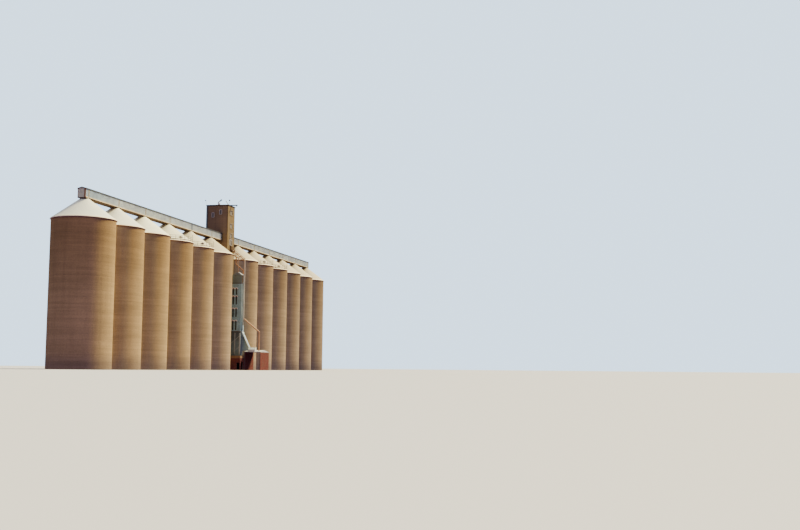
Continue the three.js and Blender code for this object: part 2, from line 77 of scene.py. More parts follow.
# Studio floor and light. The floor is plain and pale. One broad lamp stands for the sun, from the
# right of the camera, and a soft fill comes from overhead, with a fainter one from below.
FLOOR_HALF = 300.0
SUN_BEARING = math.radians(318)
SUN_HEIGHT = math.radians(45)
SUN_STRENGTH = 6.7
SUN_SPREAD = math.radians(14.0)
SUN_COLOUR = (1.0, 0.94, 0.66)
ZENITH_COLOUR = (1.17, 1.26, 1.43, 1.0)
HORIZON_COLOUR = (0.110, 0.102, 0.235, 1.0)
UNDERSIDE_COLOUR = (0.20, 0.118, 0.29, 1.0)
GLOSS_COLOUR = (0.50, 0.58, 0.68, 1.0)
BACKDROP_COLOUR = (1.05, 1.32, 1.60, 1.0)
FLOOR_COLOUR = (0.58, 0.54, 0.48, 1.0)
SHARP_FROM = math.radians(32)


def new_node(tree, kind, inputs=None, **settings):
    """Adds a node. An input may be a plain value or another node's output."""
    node = tree.nodes.new(kind)
    for name, value in settings.items():
        setattr(node, name, value)
    for key, value in (inputs or {}).items():
        if isinstance(value, bpy.types.NodeSocket):
            tree.links.new(value, node.inputs[key])
        else:
            node.inputs[key].default_value = value
    return node


def calculate(tree, operation, *values):
    return new_node(tree, "ShaderNodeMath", dict(enumerate(values)), operation=operation).outputs[0]


def mix_colours(tree, share, first, second, blend="MIX"):
    inputs = {0: share, 6: first, 7: second}
    return new_node(tree, "ShaderNodeMix", inputs, data_type="RGBA", blend_type=blend).outputs[2]


def axes(tree, vector):
    """The X, Y and Z outputs of a vector."""
    return new_node(tree, "ShaderNodeSeparateXYZ", {0: vector}).outputs


def new_material(name, **shader_values):
    """A material with its Principled shader, and plain values on that shader's own sockets."""
    material = bpy.data.materials.new(name)
    material.use_nodes = True
    shader = material.node_tree.nodes["Principled BSDF"]
    for label, value in shader_values.items():
        shader.inputs[label.replace("_", " ").title().replace("Ior", "IOR")].default_value = value
    return material, material.node_tree, shader


def new_piece(name, bm, material):
    """Turns a bmesh into a scene object with smooth curves, sharp corners and faces outwards."""
    if bm.calc_volume(signed=True) < 0:
        bmesh.ops.reverse_faces(bm, faces=bm.faces[:])
    mesh = bpy.data.meshes.new(name)
    bm.to_mesh(mesh)
    bm.free()
    mesh.materials.append(material)
    mesh.shade_smooth()
    mesh.set_sharp_from_angle(angle=SHARP_FROM)
    return into_scene(name, mesh)


floor_finish, _, _ = new_material("floor_finish", base_color=FLOOR_COLOUR, roughness=0.9)
floor_bm = bmesh.new()
bmesh.ops.create_grid(floor_bm, x_segments=1, y_segments=1, size=FLOOR_HALF)
studio_floor = new_piece("studio_floor", floor_bm, floor_finish)
studio_floor.visible_diffuse = False

sun_data = bpy.data.lights.new("sun", "SUN")
sun_data.energy = SUN_STRENGTH
sun_data.angle = SUN_SPREAD
sun_data.color = SUN_COLOUR
sun = into_scene("sun", sun_data)
to_sun = Vector((
    math.cos(SUN_BEARING) * math.cos(SUN_HEIGHT),
    math.sin(SUN_BEARING) * math.cos(SUN_HEIGHT),
    math.sin(SUN_HEIGHT),
))
sun.rotation_euler = to_sun.to_track_quat("Z", "Y").to_euler()

world = bpy.data.worlds.new("studio")
bpy.context.scene.world = world
world.use_nodes = True
tree = world.node_tree
rise = axes(tree, new_node(tree, "ShaderNodeTexCoord").outputs["Generated"])["Z"]
overhead = calculate(tree, "POWER", calculate(tree, "MAXIMUM", rise, 0.0), 2.0)
upper = mix_colours(tree, overhead, HORIZON_COLOUR, ZENITH_COLOUR)
soft_fill = mix_colours(tree, calculate(tree, "LESS_THAN", rise, 0.0), upper, UNDERSIDE_COLOUR)
ray = new_node(tree, "ShaderNodeLightPath")
seen_in_gloss = mix_colours(tree, ray.outputs["Is Glossy Ray"], soft_fill, GLOSS_COLOUR)
seen = mix_colours(tree, ray.outputs["Is Camera Ray"], seen_in_gloss, BACKDROP_COLOUR)
tree.links.new(seen, tree.nodes["Background"].inputs["Color"])
bpy.context.scene.view_settings.view_transform = "AgX"
bpy.context.scene.view_settings.look = "AgX - Medium High Contrast"

# Bin walls. Each is a cup of reinforced concrete, cast with a form that slid slowly upwards, so faint
# rings show where the form stood between lifts. Rain has drawn streaks down from the eaves, and the
# tint changes slowly along the row. Painted light makes the shaded sides that face west past the first
# bin paler, and makes the first bin's shaded side lighter towards its sunlit edge.
WALL_THICKNESS = 0.025
BIN_FLOOR = 0.050
LIFT_HEIGHT = 0.165
RING_HALF = 0.0005
RING_DEPTH = 0.0007
ROUND_STEPS = 96
WELD_REACH = 1e-5
WHITE = (1.0, 1.0, 1.0, 1.0)
BIN_FOOT = (0.33, 0.235, 0.14, 1.0)
BIN_LOW = (0.50, 0.348, 0.172, 1.0)
BIN_MIDDLE = (0.49, 0.338, 0.157, 1.0)
BIN_HIGH = (0.43, 0.284, 0.124, 1.0)
BIN_TOP = (0.42, 0.274, 0.119, 1.0)
# Paler colours painted as light on shaded sides: the west sides past the first bin, and the first bin's
# shaded side.
BIN_WEST_PAINTED_LIGHT = (0.51, 0.42, 0.245, 1.0)
FIRST_BIN_PAINTED_LIGHT = (1.33, 1.30, 1.33, 1.0)
MIDDLE_TINT = (0.93, 0.97, 1.15, 1.0)
FAR_TINT = (0.75, 0.79, 0.98, 1.0)
CONCRETE_STAIN = (0.26, 0.165, 0.09, 1.0)

bin_middles = {}
for number in range(1, 13):
    wall_low, wall_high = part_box(f"bin_{number:02d}_wall")
    bin_middles[f"bin_{number:02d}"] = (wall_low.x + wall_high.x) / 2
bin_radius = (wall_high.y - wall_low.y) / 2
bin_top = wall_high.z
first_middle = bin_middles["bin_07"]
bin_pitch = bin_middles["bin_08"] - first_middle


def join_loop(bm, points, closed=True):
    """Edges from point to point, and back to the first if closed."""
    corners = [bm.verts.new(point) for point in points]
    for first, second in zip(corners, corners[1:] + corners[:1] * closed):
        bm.edges.new((first, second))


def turned(outline, middle_x, closed=False):
    """Spins an outline of (radius, height) points once round the upright line at middle_x."""
    bm = bmesh.new()
    join_loop(bm, [(middle_x + radius, 0.0, height) for radius, height in outline], closed)
    bmesh.ops.spin(
        bm, geom=bm.verts[:] + bm.edges[:], cent=(middle_x, 0.0, 0.0), axis=(0.0, 0.0, 1.0),
        angle=math.tau, steps=ROUND_STEPS, use_merge=True,
    )
    bmesh.ops.remove_doubles(bm, verts=bm.verts[:], dist=WELD_REACH)
    bmesh.ops.recalc_face_normals(bm, faces=bm.faces[:])
    return bm


def new_group(name, inputs, outputs):
    """An empty node group with named sockets, as the group and its two end nodes."""
    group = bpy.data.node_groups.new(name, "ShaderNodeTree")
    for label, (kind, value) in inputs.items():
        socket = group.interface.new_socket(label, in_out="INPUT", socket_type=kind)
        socket.default_value = value
    for label, kind in outputs.items():
        group.interface.new_socket(label, in_out="OUTPUT", socket_type=kind)
    return group, group.nodes.new("NodeGroupInput").outputs, group.nodes.new("NodeGroupOutput").inputs


def product(tree, first, *factors):
    for factor in factors:
        first = calculate(tree, "MULTIPLY", first, factor)
    return first


def grey(tree, value):
    return new_node(tree, "ShaderNodeCombineColor", {0: value, 1: value, 2: value}).outputs[0]


def object_place(tree, scale=(1.0, 1.0, 1.0)):
    place = new_node(tree, "ShaderNodeTexCoord").outputs["Object"]
    return new_node(tree, "ShaderNodeMapping", {"Vector": place, "Scale": scale}).outputs["Vector"]


def noise(tree, place, scale, detail=3.0):
    inputs = {"Vector": place, "Scale": scale, "Detail": detail}
    return new_node(tree, "ShaderNodeTexNoise", inputs).outputs["Fac"]


def ranged(tree, value, low, high, to_low=0.0, to_high=1.0):
    inputs = {"Value": value, "From Min": low, "From Max": high, "To Min": to_low, "To Max": to_high}
    return new_node(tree, "ShaderNodeMapRange", inputs).outputs["Result"]


COLOUR = "NodeSocketColor"
NUMBER = "NodeSocketFloat"
FINISH_OUTPUTS = {"Color": COLOUR, "Roughness": NUMBER, "Height": NUMBER}

concrete_finish, given, result = new_group("concrete_finish", {
    "Clean": (COLOUR, BIN_MIDDLE),
    "Stain": (COLOUR, CONCRETE_STAIN),
    "Streaks": (NUMBER, 0.5),
    "Lift": (NUMBER, LIFT_HEIGHT),
    "Bands": (NUMBER, 0.4),
    "Which": (NUMBER, 0.0),
}, FINISH_OUTPUTS)
tree = concrete_finish
wave = ranged(tree, noise(tree, object_place(tree), 3.5), 0.3, 0.7, -0.012, 0.012)
height = calculate(tree, "ADD", axes(tree, object_place(tree))["Z"], wave)
lift = calculate(tree, "FLOOR", calculate(tree, "DIVIDE", height, given["Lift"]))
lift_place = new_node(tree, "ShaderNodeCombineXYZ", {0: given["Which"], 1: lift}).outputs[0]
lift_tone = new_node(tree, "ShaderNodeTexWhiteNoise", {"Vector": lift_place}).outputs["Value"]
to_ring = calculate(tree, "PINGPONG", height, product(tree, given["Lift"], 0.5))
ring = ranged(tree, to_ring, 0.0, 0.008, 1.0, 0.0)
levels = noise(tree, object_place(tree, (0.8, 0.8, 17.0)), 1.0, 4.0)
levels = product(tree, ranged(tree, levels, 0.34, 0.66, -0.080, 0.065), given["Bands"])
flecks = noise(tree, object_place(tree, (1.0, 1.0, 1.6)), 26.0, 5.0)
long_streaks = ranged(tree, noise(tree, object_place(tree, (9.0, 9.0, 0.30)), 1.0, 5.0), 0.47, 0.72)
fine_streaks = ranged(tree, noise(tree, object_place(tree, (60.0, 60.0, 1.1)), 1.0, 4.0), 0.50, 0.75)
patches = noise(tree, object_place(tree), 1.7, 4.0)
grain = noise(tree, object_place(tree), 190.0, 5.0)
streaks = calculate(tree, "ADD", long_streaks, product(tree, fine_streaks, 0.45))
streaks = calculate(tree, "MINIMUM", product(tree, streaks, given["Streaks"]), 1.0)
tone = product(
    tree, ranged(tree, patches, 0.3, 0.7, 0.91, 1.07), ranged(tree, lift_tone, 0.0, 1.0, 0.965, 1.025),
    ranged(tree, grain, 0.25, 0.75, 0.93, 1.06), ranged(tree, flecks, 0.3, 0.7, 0.92, 1.06),
    ranged(tree, ring, 0.0, 1.0, 1.0, 0.90), calculate(tree, "ADD", levels, 1.0),
)
stained = mix_colours(tree, streaks, given["Clean"], given["Stain"])
tree.links.new(mix_colours(tree, 1.0, stained, grey(tree, tone), "MULTIPLY"), result["Color"])
tree.links.new(ranged(tree, grain, 0.3, 0.7, 0.82, 0.96), result["Roughness"])
tree.links.new(calculate(tree, "SUBTRACT", grain, ring), result["Height"])


def finished_material(name, group, inputs, bump=0.001, **shader_values):
    """A material that takes colour, roughness and bump from a finish group, and that group's inputs."""
    material, tree, shader = new_material(name, **shader_values)
    finish = new_node(tree, "ShaderNodeGroup", inputs, node_tree=group)
    tree.links.new(finish.outputs["Color"], shader.inputs["Base Color"])
    tree.links.new(finish.outputs["Roughness"], shader.inputs["Roughness"])
    relief = new_node(tree, "ShaderNodeBump", {"Height": finish.outputs["Height"], "Distance": bump})
    tree.links.new(relief.outputs["Normal"], shader.inputs["Normal"])
    return material, finish.inputs


def finish_piece(name, bm, material, slot, *nodes):
    """A piece that rides with the plant, hiding the nodes that it stands for. Its slot argument is not used.
    """
    piece = new_piece(name, bm, material)
    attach(piece, "root")
    if nodes:
        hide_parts(*nodes)


bin_concrete, bin_finish = finished_material("bin_concrete", concrete_finish, {
    "Stain": CONCRETE_STAIN, "Streaks": 0.16, "Lift": LIFT_HEIGHT, "Bands": 1.0,
}, specular_ior_level=0.12)
tree = bin_concrete.node_tree
along, _, share_up = axes(tree, object_place(tree, (1.0, 1.0, 1.0 / bin_top)))
by_height = new_node(tree, "ShaderNodeValToRGB", {"Fac": share_up})
stops = by_height.color_ramp.elements
stops[0].color = BIN_FOOT
stops[1].color = BIN_TOP
for position, shade in ((0.03, BIN_FOOT), (0.12, BIN_LOW), (0.55, BIN_MIDDLE), (0.86, BIN_HIGH)):
    stops.new(position).color = shade
facing = axes(tree, new_node(tree, "ShaderNodeTexCoord").outputs["Normal"])
past_first = calculate(tree, "GREATER_THAN", along, bin_middles["bin_01"] + bin_radius)
# Painted light: shaded sides that face west, past the first bin, are painted paler.
painted_light_west = product(tree, ranged(tree, facing["X"], -0.45, -0.85), past_first)
wall_colour = mix_colours(tree, painted_light_west, by_height.outputs["Color"], BIN_WEST_PAINTED_LIGHT)
# Painted light: the first bin's shaded side is painted lighter towards its sunlit edge.
painted_light_first_bin = product(
    tree, ranged(tree, facing["Y"], 0.70, -1.00), ranged(tree, facing["Y"], -0.90, -0.72),
    calculate(tree, "SUBTRACT", 1.0, past_first),
)
first_bin_light_tint = mix_colours(tree, painted_light_first_bin, WHITE, FIRST_BIN_PAINTED_LIGHT)
to_middle = ranged(tree, along, bin_middles["bin_04"], bin_middles["bin_06"])
to_end = ranged(tree, along, 0.0, bin_middles["bin_12"])
row_tint = mix_colours(tree, to_end, mix_colours(tree, to_middle, WHITE, MIDDLE_TINT), FAR_TINT)
for tint in (first_bin_light_tint, row_tint):
    wall_colour = mix_colours(tree, 1.0, wall_colour, tint, "MULTIPLY")
tree.links.new(wall_colour, bin_finish["Clean"])
from_tower = calculate(tree, "SUBTRACT", calculate(tree, "ABSOLUTE", along), first_middle - bin_pitch / 2)
which = calculate(tree, "CEIL", calculate(tree, "DIVIDE", from_tower, bin_pitch))
tree.links.new(product(tree, which, calculate(tree, "SIGN", along)), bin_finish["Which"])

inner_radius = bin_radius - WALL_THICKNESS
wall_outline = [(0.0, 0.0), (bin_radius, 0.0)]
for lift in range(1, math.ceil(bin_top / LIFT_HEIGHT)):
    ring_height = lift * LIFT_HEIGHT
    wall_outline += [
        (bin_radius, ring_height - RING_HALF),
        (bin_radius - RING_DEPTH, ring_height),
        (bin_radius, ring_height + RING_HALF),
    ]
wall_outline += [(bin_radius, bin_top), (inner_radius, bin_top), (inner_radius, BIN_FLOOR), (0.0, BIN_FLOOR)]
for label, middle_x in bin_middles.items():
    wall = turned(wall_outline, middle_x)
    finish_piece(f"{label}_concrete", wall, bin_concrete, "bin_concrete", f"{label}_wall")

# Cone roofs. Each is a thin concrete cone, painted white, with a drip kerb round its rim, and it
# stands on a dark upstand ring. Rain has left faint grey runs down the slope, the paint is freshest on
# bins 3 and 4, and it grows duller towards the far end.
EAVE_TOP = 3.505
KERB_WIDTH = 0.022
KERB_HEIGHT = 0.005
RIM_THICKNESS = 0.012
RIM_ROUND = 0.003
SHELL = 0.018
PEAK_RADIUS = 0.100
PEAK_INSET = 0.010
SEAT_GAP = 0.0003
KERB_BAND = 0.050
ROOF_PAINT = (0.82, 0.78, 0.59, 1.0)
ROOF_CREAM = (0.94, 0.88, 0.60, 1.0)
ROOF_FAR = (0.61, 0.50, 0.30, 1.0)
ROOF_GRIME = (0.50, 0.50, 0.44, 1.0)
KERB_PAINT = (1.00, 0.86, 0.56, 1.0)
SOFFIT_COLOUR = (0.42, 0.27, 0.14, 1.0)

roof_low, roof_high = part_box("bin_01_roof")
eave_radius = (roof_high.y - roof_low.y) / 2
peak = roof_high.z
kerb_inside = eave_radius - KERB_WIDTH
slope = (peak - EAVE_TOP) / (eave_radius - PEAK_RADIUS)


def roof_height(radius):
    return EAVE_TOP + (eave_radius - radius) * slope


def concrete(name, clean, stain, streaks, lift=1.0, shine=0.12):
    """Plain concrete or plaster in one colour."""
    inputs = {"Clean": clean, "Stain": stain, "Streaks": streaks, "Lift": lift}
    return finished_material(name, concrete_finish, inputs, specular_ior_level=shine)[0]


def add_relief(tree, shader, scale, depth):
    """A fine, even roughness on a material's surface."""
    inputs = {"Height": noise(tree, object_place(tree), scale), "Distance": depth}
    tree.links.new(new_node(tree, "ShaderNodeBump", inputs).outputs["Normal"], shader.inputs["Normal"])


roof_paint, tree, shader = new_material("roof_paint", roughness=0.6, specular_ior_level=0.25)
along, across, _ = axes(tree, object_place(tree))
from_bin = calculate(tree, "SUBTRACT", calculate(tree, "ABSOLUTE", along), first_middle)
from_bin = calculate(tree, "WRAP", from_bin, bin_pitch / 2, -bin_pitch / 2)
outwards = new_node(tree, "ShaderNodeCombineXYZ", {0: from_bin, 1: across}).outputs[0]
spoke = new_node(tree, "ShaderNodeVectorMath", {0: outwards}, operation="NORMALIZE").outputs[0]
run_inputs = {0: outwards, 1: spoke, 2: spoke}
run_place = new_node(tree, "ShaderNodeVectorMath", run_inputs, operation="MULTIPLY_ADD").outputs[0]
runs = ranged(tree, noise(tree, run_place, 14.0, 5.0), 0.48, 0.75)
specks = ranged(tree, noise(tree, object_place(tree), 60.0, 6.0), 0.56, 0.72)
blotches = ranged(tree, noise(tree, object_place(tree), 3.0, 4.0), 0.35, 0.7)
dirt = calculate(tree, "ADD", product(tree, runs, 0.22), product(tree, specks, 0.20))
dirt = calculate(tree, "ADD", dirt, product(tree, blotches, 0.16))
newer_paint = ranged(tree, along, bin_middles["bin_01"], bin_middles["bin_03"])
duller_paint = ranged(tree, along, bin_middles["bin_03"], bin_middles["bin_06"])
roof_colour = mix_colours(tree, newer_paint, ROOF_PAINT, ROOF_CREAM)
roof_colour = mix_colours(tree, duller_paint, roof_colour, ROOF_FAR)
roof_colour = mix_colours(tree, dirt, roof_colour, ROOF_GRIME)
from_middle = new_node(tree, "ShaderNodeVectorMath", {0: outwards}, operation="LENGTH").outputs["Value"]
on_kerb = ranged(tree, from_middle, eave_radius - KERB_BAND, eave_radius - KERB_BAND / 2)
tree.links.new(mix_colours(tree, on_kerb, roof_colour, KERB_PAINT), shader.inputs["Base Color"])
add_relief(tree, shader, 220.0, 0.0006)
soffit_paint = concrete("soffit_paint", SOFFIT_COLOUR, CONCRETE_STAIN, 0.4, shine=0.1)

rim_low = EAVE_TOP - RIM_THICKNESS
kerb_foot = kerb_inside - RIM_ROUND
cone_outline = [
    (0.0, peak - SHELL),
    (PEAK_RADIUS - PEAK_INSET, peak - SHELL),
    (inner_radius, roof_height(inner_radius) - SHELL),
    (bin_radius, rim_low),
    (eave_radius - RIM_ROUND, rim_low),
    (eave_radius, rim_low + RIM_ROUND),
    (eave_radius - RIM_ROUND, EAVE_TOP + KERB_HEIGHT * 0.4),
    (eave_radius - 3 * RIM_ROUND, EAVE_TOP + KERB_HEIGHT * 1.8),
    (kerb_foot, roof_height(kerb_foot)),
    (PEAK_RADIUS, peak),
    (0.0, peak),
]
upstand_low = bin_top + SEAT_GAP
upstand_outline = [
    (bin_radius, upstand_low), (bin_radius, rim_low), (inner_radius, rim_low), (inner_radius, upstand_low),
]
for label, middle_x in bin_middles.items():
    cone = turned(cone_outline, middle_x)
    upstand = turned(upstand_outline, middle_x, closed=True)
    finish_piece(f"{label}_cone", cone, roof_paint, "white_roof", f"{label}_roof")
    finish_piece(f"{label}_upstand", upstand, soffit_paint, "dark_slab")

# Roof hatches on the two bins each side of the tower that carry rails. Each is a welded steel box
# let into the slope, with a lipped lid, two hinges at the uphill edge and a grab handle.
RAILED_BINS = ("bin_04", "bin_05", "bin_08", "bin_09")
HATCH_BEARING = math.radians(242)
HATCH_NEAR = 0.605
HATCH_FAR = 0.675
HATCH_HALF = 0.035
HATCH_HEIGHT = 0.062
LID_LIP = 0.004
LID_BACK_LIP = 0.002
HINGES = (-0.020, 0.020)
HINGE_HALF = 0.007
HINGE_RADIUS = 0.0022
GRIP_OUT = 0.006
GRIP_DROP = 0.018
GRIP_ENDS = (-0.012, 0.012)
GRIP_RADIUS = 0.0012
SQUARE_EDGE = math.radians(40)
STEEL_PAINT = (0.62, 0.57, 0.46, 1.0)
RUST = (0.20, 0.075, 0.03, 1.0)


def add_block(bm, low, high, place=Matrix()):
    """A box between two corners, with the place that it is turned and moved by."""
    low, high = Vector(low), Vector(high)
    shape = place @ Matrix.Translation((low + high) / 2) @ Matrix.Diagonal((high - low).to_4d())
    return bmesh.ops.create_cube(bm, size=1.0, matrix=shape)["verts"]


def add_tube(bm, start, end, radius, sides=16, place=Matrix()):
    """A round bar or pipe between two points."""
    start, end = place @ Vector(start), place @ Vector(end)
    turn = (end - start).to_track_quat("Z", "Y").to_matrix().to_4x4()
    bmesh.ops.create_cone(
        bm, cap_ends=True, segments=sides, radius1=radius, radius2=radius,
        depth=(end - start).length, matrix=Matrix.Translation((start + end) / 2) @ turn,
    )


def soften(bm, offset, segments=2):
    """Rounds the square edges of plates and blocks."""
    edges = [edge for edge in bm.edges if edge.is_manifold and edge.calc_face_angle() > SQUARE_EDGE]
    bmesh.ops.bevel(
        bm, geom=edges, offset=offset, segments=segments, profile=0.5, affect="EDGES",
        material=-1, clamp_overlap=True,
    )


metal_finish, given, result = new_group("metal_finish", {
    "Paint": (COLOUR, STEEL_PAINT),
    "Rust": (COLOUR, RUST),
    "Worn": (NUMBER, 0.4),
    "Gloss": (NUMBER, 0.5),
}, FINISH_OUTPUTS)
tree = metal_finish
scabs = noise(tree, object_place(tree), 34.0, 6.0)
wet_runs = ranged(tree, noise(tree, object_place(tree, (40.0, 40.0, 2.5)), 1.0, 4.0), 0.50, 0.72)
clouds = noise(tree, object_place(tree), 6.0, 4.0)
bare = calculate(tree, "MAXIMUM", ranged(tree, scabs, 0.52, 0.68), product(tree, wet_runs, 0.55))
bare = product(tree, bare, given["Worn"])
shade = grey(tree, ranged(tree, clouds, 0.3, 0.7, 0.86, 1.08))
painted = mix_colours(tree, 1.0, given["Paint"], shade, "MULTIPLY")
tree.links.new(mix_colours(tree, bare, painted, given["Rust"]), result["Color"])
tree.links.new(calculate(tree, "ADD", given["Gloss"], product(tree, bare, 0.35)), result["Roughness"])
tree.links.new(scabs, result["Height"])


def steel(name, paint, worn, under=RUST, gloss=0.5, bump=0.0003, shine=0.3, fade=None):
    """Painted or galvanised steel. A fade gives the axis, its two ends and the colour it ends in."""
    inputs = {"Paint": paint, "Rust": under, "Worn": worn, "Gloss": gloss}
    material, finish = finished_material(name, metal_finish, inputs, bump, specular_ior_level=shine)
    if fade:
        axis, start, end, last_paint = fade
        tree = material.node_tree
        share = ranged(tree, axes(tree, object_place(tree))[axis], start, end)
        tree.links.new(mix_colours(tree, share, paint, last_paint), finish["Paint"])
    return material


hatch_paint = steel("hatch_paint", STEEL_PAINT, 0.25, gloss=0.45, bump=0.0004)
hatch_seat = roof_height(HATCH_FAR) - SHELL / 2
lid_low = hatch_seat + HATCH_HEIGHT - LID_LIP
lid_top = lid_low + LID_LIP
grip_height = lid_low - GRIP_DROP
grip_reach = HATCH_FAR + GRIP_OUT
for label in RAILED_BINS:
    place = Matrix.Translation((bin_middles[label], 0.0, 0.0)) @ Matrix.Rotation(HATCH_BEARING, 4, "Z")
    bm = bmesh.new()
    add_block(bm, (HATCH_NEAR, -HATCH_HALF, hatch_seat), (HATCH_FAR, HATCH_HALF, lid_low), place)
    add_block(
        bm, (HATCH_NEAR - LID_BACK_LIP, -HATCH_HALF - LID_LIP, lid_low),
        (HATCH_FAR + LID_LIP, HATCH_HALF + LID_LIP, lid_top), place,
    )
    soften(bm, 0.001)
    for side in HINGES:
        start, end = (HATCH_NEAR, side - HINGE_HALF, lid_top), (HATCH_NEAR, side + HINGE_HALF, lid_top)
        add_tube(bm, start, end, HINGE_RADIUS, 10, place)
    corners = [(grip_reach, side, grip_height) for side in GRIP_ENDS]
    add_tube(bm, *corners, GRIP_RADIUS, 8, place)
    for corner in corners:
        add_tube(bm, corner, (HATCH_FAR, *corner[1:]), GRIP_RADIUS, 8, place)
    finish_piece(f"{label}_hatch", bm, hatch_paint, "brown_steel")

# Guard rails beside the hatches. They are bent steel tubes on upright posts, with a flat toe board,
# and the posts are welded to plates that are bolted through the cone.
RAIL_RADIUS = 0.735
RAIL_START = math.radians(202.5)
RAIL_BAYS = 7
RAIL_BAY = math.tau / 32
RAIL_HEIGHT = 0.112
MIDDLE_RAIL = 0.55
POST_RADIUS = 0.0042
POST_SUNK = 0.001
TUBE_RADIUS = 0.0036
TOE_BOARD = 0.015
TOE_BOARD_HALF = 0.001
TOE_BOARD_LIFT = 0.003
TALL_POST = 0.190
FOOT_PLATE = (0.008, -0.003, 0.004)
RAIL_PAINT = (0.15, 0.095, 0.065, 1.0)


def placed(bm, place):
    bmesh.ops.transform(bm, matrix=place, verts=bm.verts[:])
    return bm


def add_mesh(bm, other, place):
    """Moves one bmesh to its place and puts it into another."""
    carrier = bpy.data.meshes.new("carrier")
    placed(other, place).to_mesh(carrier)
    other.free()
    bm.from_mesh(carrier)
    bpy.data.meshes.remove(carrier)


def swept_arc(bm, section, place, sweep, steps):
    """Carries a closed section of (radius, height) points round part of a circle, then to its place."""
    fresh = bmesh.new()
    join_loop(fresh, [(radius, 0.0, height) for radius, height in section])
    bmesh.ops.spin(
        fresh, geom=fresh.verts[:] + fresh.edges[:], cent=(0.0, 0.0, 0.0), axis=(0.0, 0.0, 1.0),
        angle=sweep, steps=steps, use_merge=False,
    )
    bmesh.ops.holes_fill(fresh, edges=fresh.edges[:], sides=0)
    bmesh.ops.recalc_face_normals(fresh, faces=fresh.faces[:])
    add_mesh(bm, fresh, place)


def round_section(radius, height, tube_radius, sides=8):
    turns = [side * math.tau / sides for side in range(sides)]
    return [(radius + tube_radius * math.cos(turn), height + tube_radius * math.sin(turn)) for turn in turns]


def flat_section(inner, outer, low, high):
    return [(inner, low), (outer, low), (outer, high), (inner, high)]


rail_paint = steel("rail_paint", RAIL_PAINT, 0.6)
rail_foot = roof_height(RAIL_RADIUS)
rail_top = rail_foot + RAIL_HEIGHT
board_low = rail_foot + TOE_BOARD_LIFT
board = (RAIL_RADIUS - TOE_BOARD_HALF, RAIL_RADIUS + TOE_BOARD_HALF, board_low, board_low + TOE_BOARD)
rail_sections = [
    round_section(RAIL_RADIUS, rail_top, TUBE_RADIUS),
    round_section(RAIL_RADIUS, rail_foot + RAIL_HEIGHT * MIDDLE_RAIL, TUBE_RADIUS),
    flat_section(*board),
]
for label in RAILED_BINS:
    middle = Matrix.Translation((bin_middles[label], 0.0, 0.0))
    bm = bmesh.new()
    for section in rail_sections:
        start = middle @ Matrix.Rotation(RAIL_START, 4, "Z")
        swept_arc(bm, section, start, RAIL_BAYS * RAIL_BAY, 4 * RAIL_BAYS)
    for post in range(RAIL_BAYS + 1):
        place = middle @ Matrix.Rotation(RAIL_START + post * RAIL_BAY, 4, "Z")
        top = rail_foot + TALL_POST if post == RAIL_BAYS else rail_top
        plate_radius, plate_low, plate_high = FOOT_PLATE
        for radius, low, high, sides in (
            (POST_RADIUS, rail_foot - POST_SUNK, top, 10),
            (plate_radius, rail_foot + plate_low, rail_foot + plate_high, 12),
        ):
            add_tube(bm, (RAIL_RADIUS, 0.0, low), (RAIL_RADIUS, 0.0, high), radius, sides, place)
    finish_piece(f"{label}_railing", bm, rail_paint, "brown_steel", f"{label}_guard_rail")

# Conveyor gallery. A light steel frame over the peaks is clad with ribbed steel sheet on its sides
# and its low gable roof. Flat cover strips hide the sheet joints, a cream sill runs along the foot,
# and dark flashing trims the eaves and the joint with the tower. The eave flashing hangs deep, and its
# dark strip stands also for painted shade under the roof's overhang.
RIB_PITCH = 0.01715
RIB_DEPTH = 0.00365
SHEET_THICKNESS = 0.001
RIB_SHARES = (0.0, 0.6, 0.7, 0.9)
RIB_LIFTS = (0.0, 0.0, 1.0, 1.0)
EAVE_LIFT = 0.008
RIDGE_RADIUS = 0.005
RIDGE_DROP = 0.003
EAVE_FLASHING_AND_SHADE = 0.028
FLASHING_LAP = 0.004
FLASHING_SHEET = 0.002
BARGE_DROP = 0.008
BARGE_SIZE = (0.003, 0.016)
COLLAR_LENGTH = 0.075
COLLAR_FACES = (0.104, 0.111)
SILL_FACES = (0.102, 0.108)
STRIP_FACES = (0.103, 0.108)
STRIP_HALF = 0.018
SILL_HEIGHT = 0.022
CORNER_TRIM = 0.041
BACK_CORNER_TRIM = 0.008
CORNER_PROUD = 0.002
CORNER_LAP = 0.004
FIRST_BAY_REACH = 0.4
FIRST_BAY_SHEET = (0.57, 0.66, 0.65, 1.0)
GALLERY_SHEET = (0.69, 0.73, 0.66, 1.0)
END_SHEET = (0.74, 0.70, 0.52, 1.0)
GALLERY_DIRT = (0.42, 0.39, 0.33, 1.0)
GALLERY_ROOF = (0.42, 0.42, 0.41, 1.0)
# Dark flashing colour; the deep eave strip in it is also painted shade under the roof's overhang.
FLASHING_AND_SHADE_COLOUR = (0.085, 0.092, 0.088, 1.0)
STRIP_COLOUR = (0.38, 0.30, 0.17, 1.0)
SILL_COLOUR = (0.80, 0.66, 0.42, 1.0)
BLUE_STRIP = (0.06, 0.10, 0.15, 1.0)
CORNER_COLOUR = (0.37, 0.19, 0.11, 1.0)
GALLERY_FLOOR = (0.130, 0.090, 0.066, 1.0)


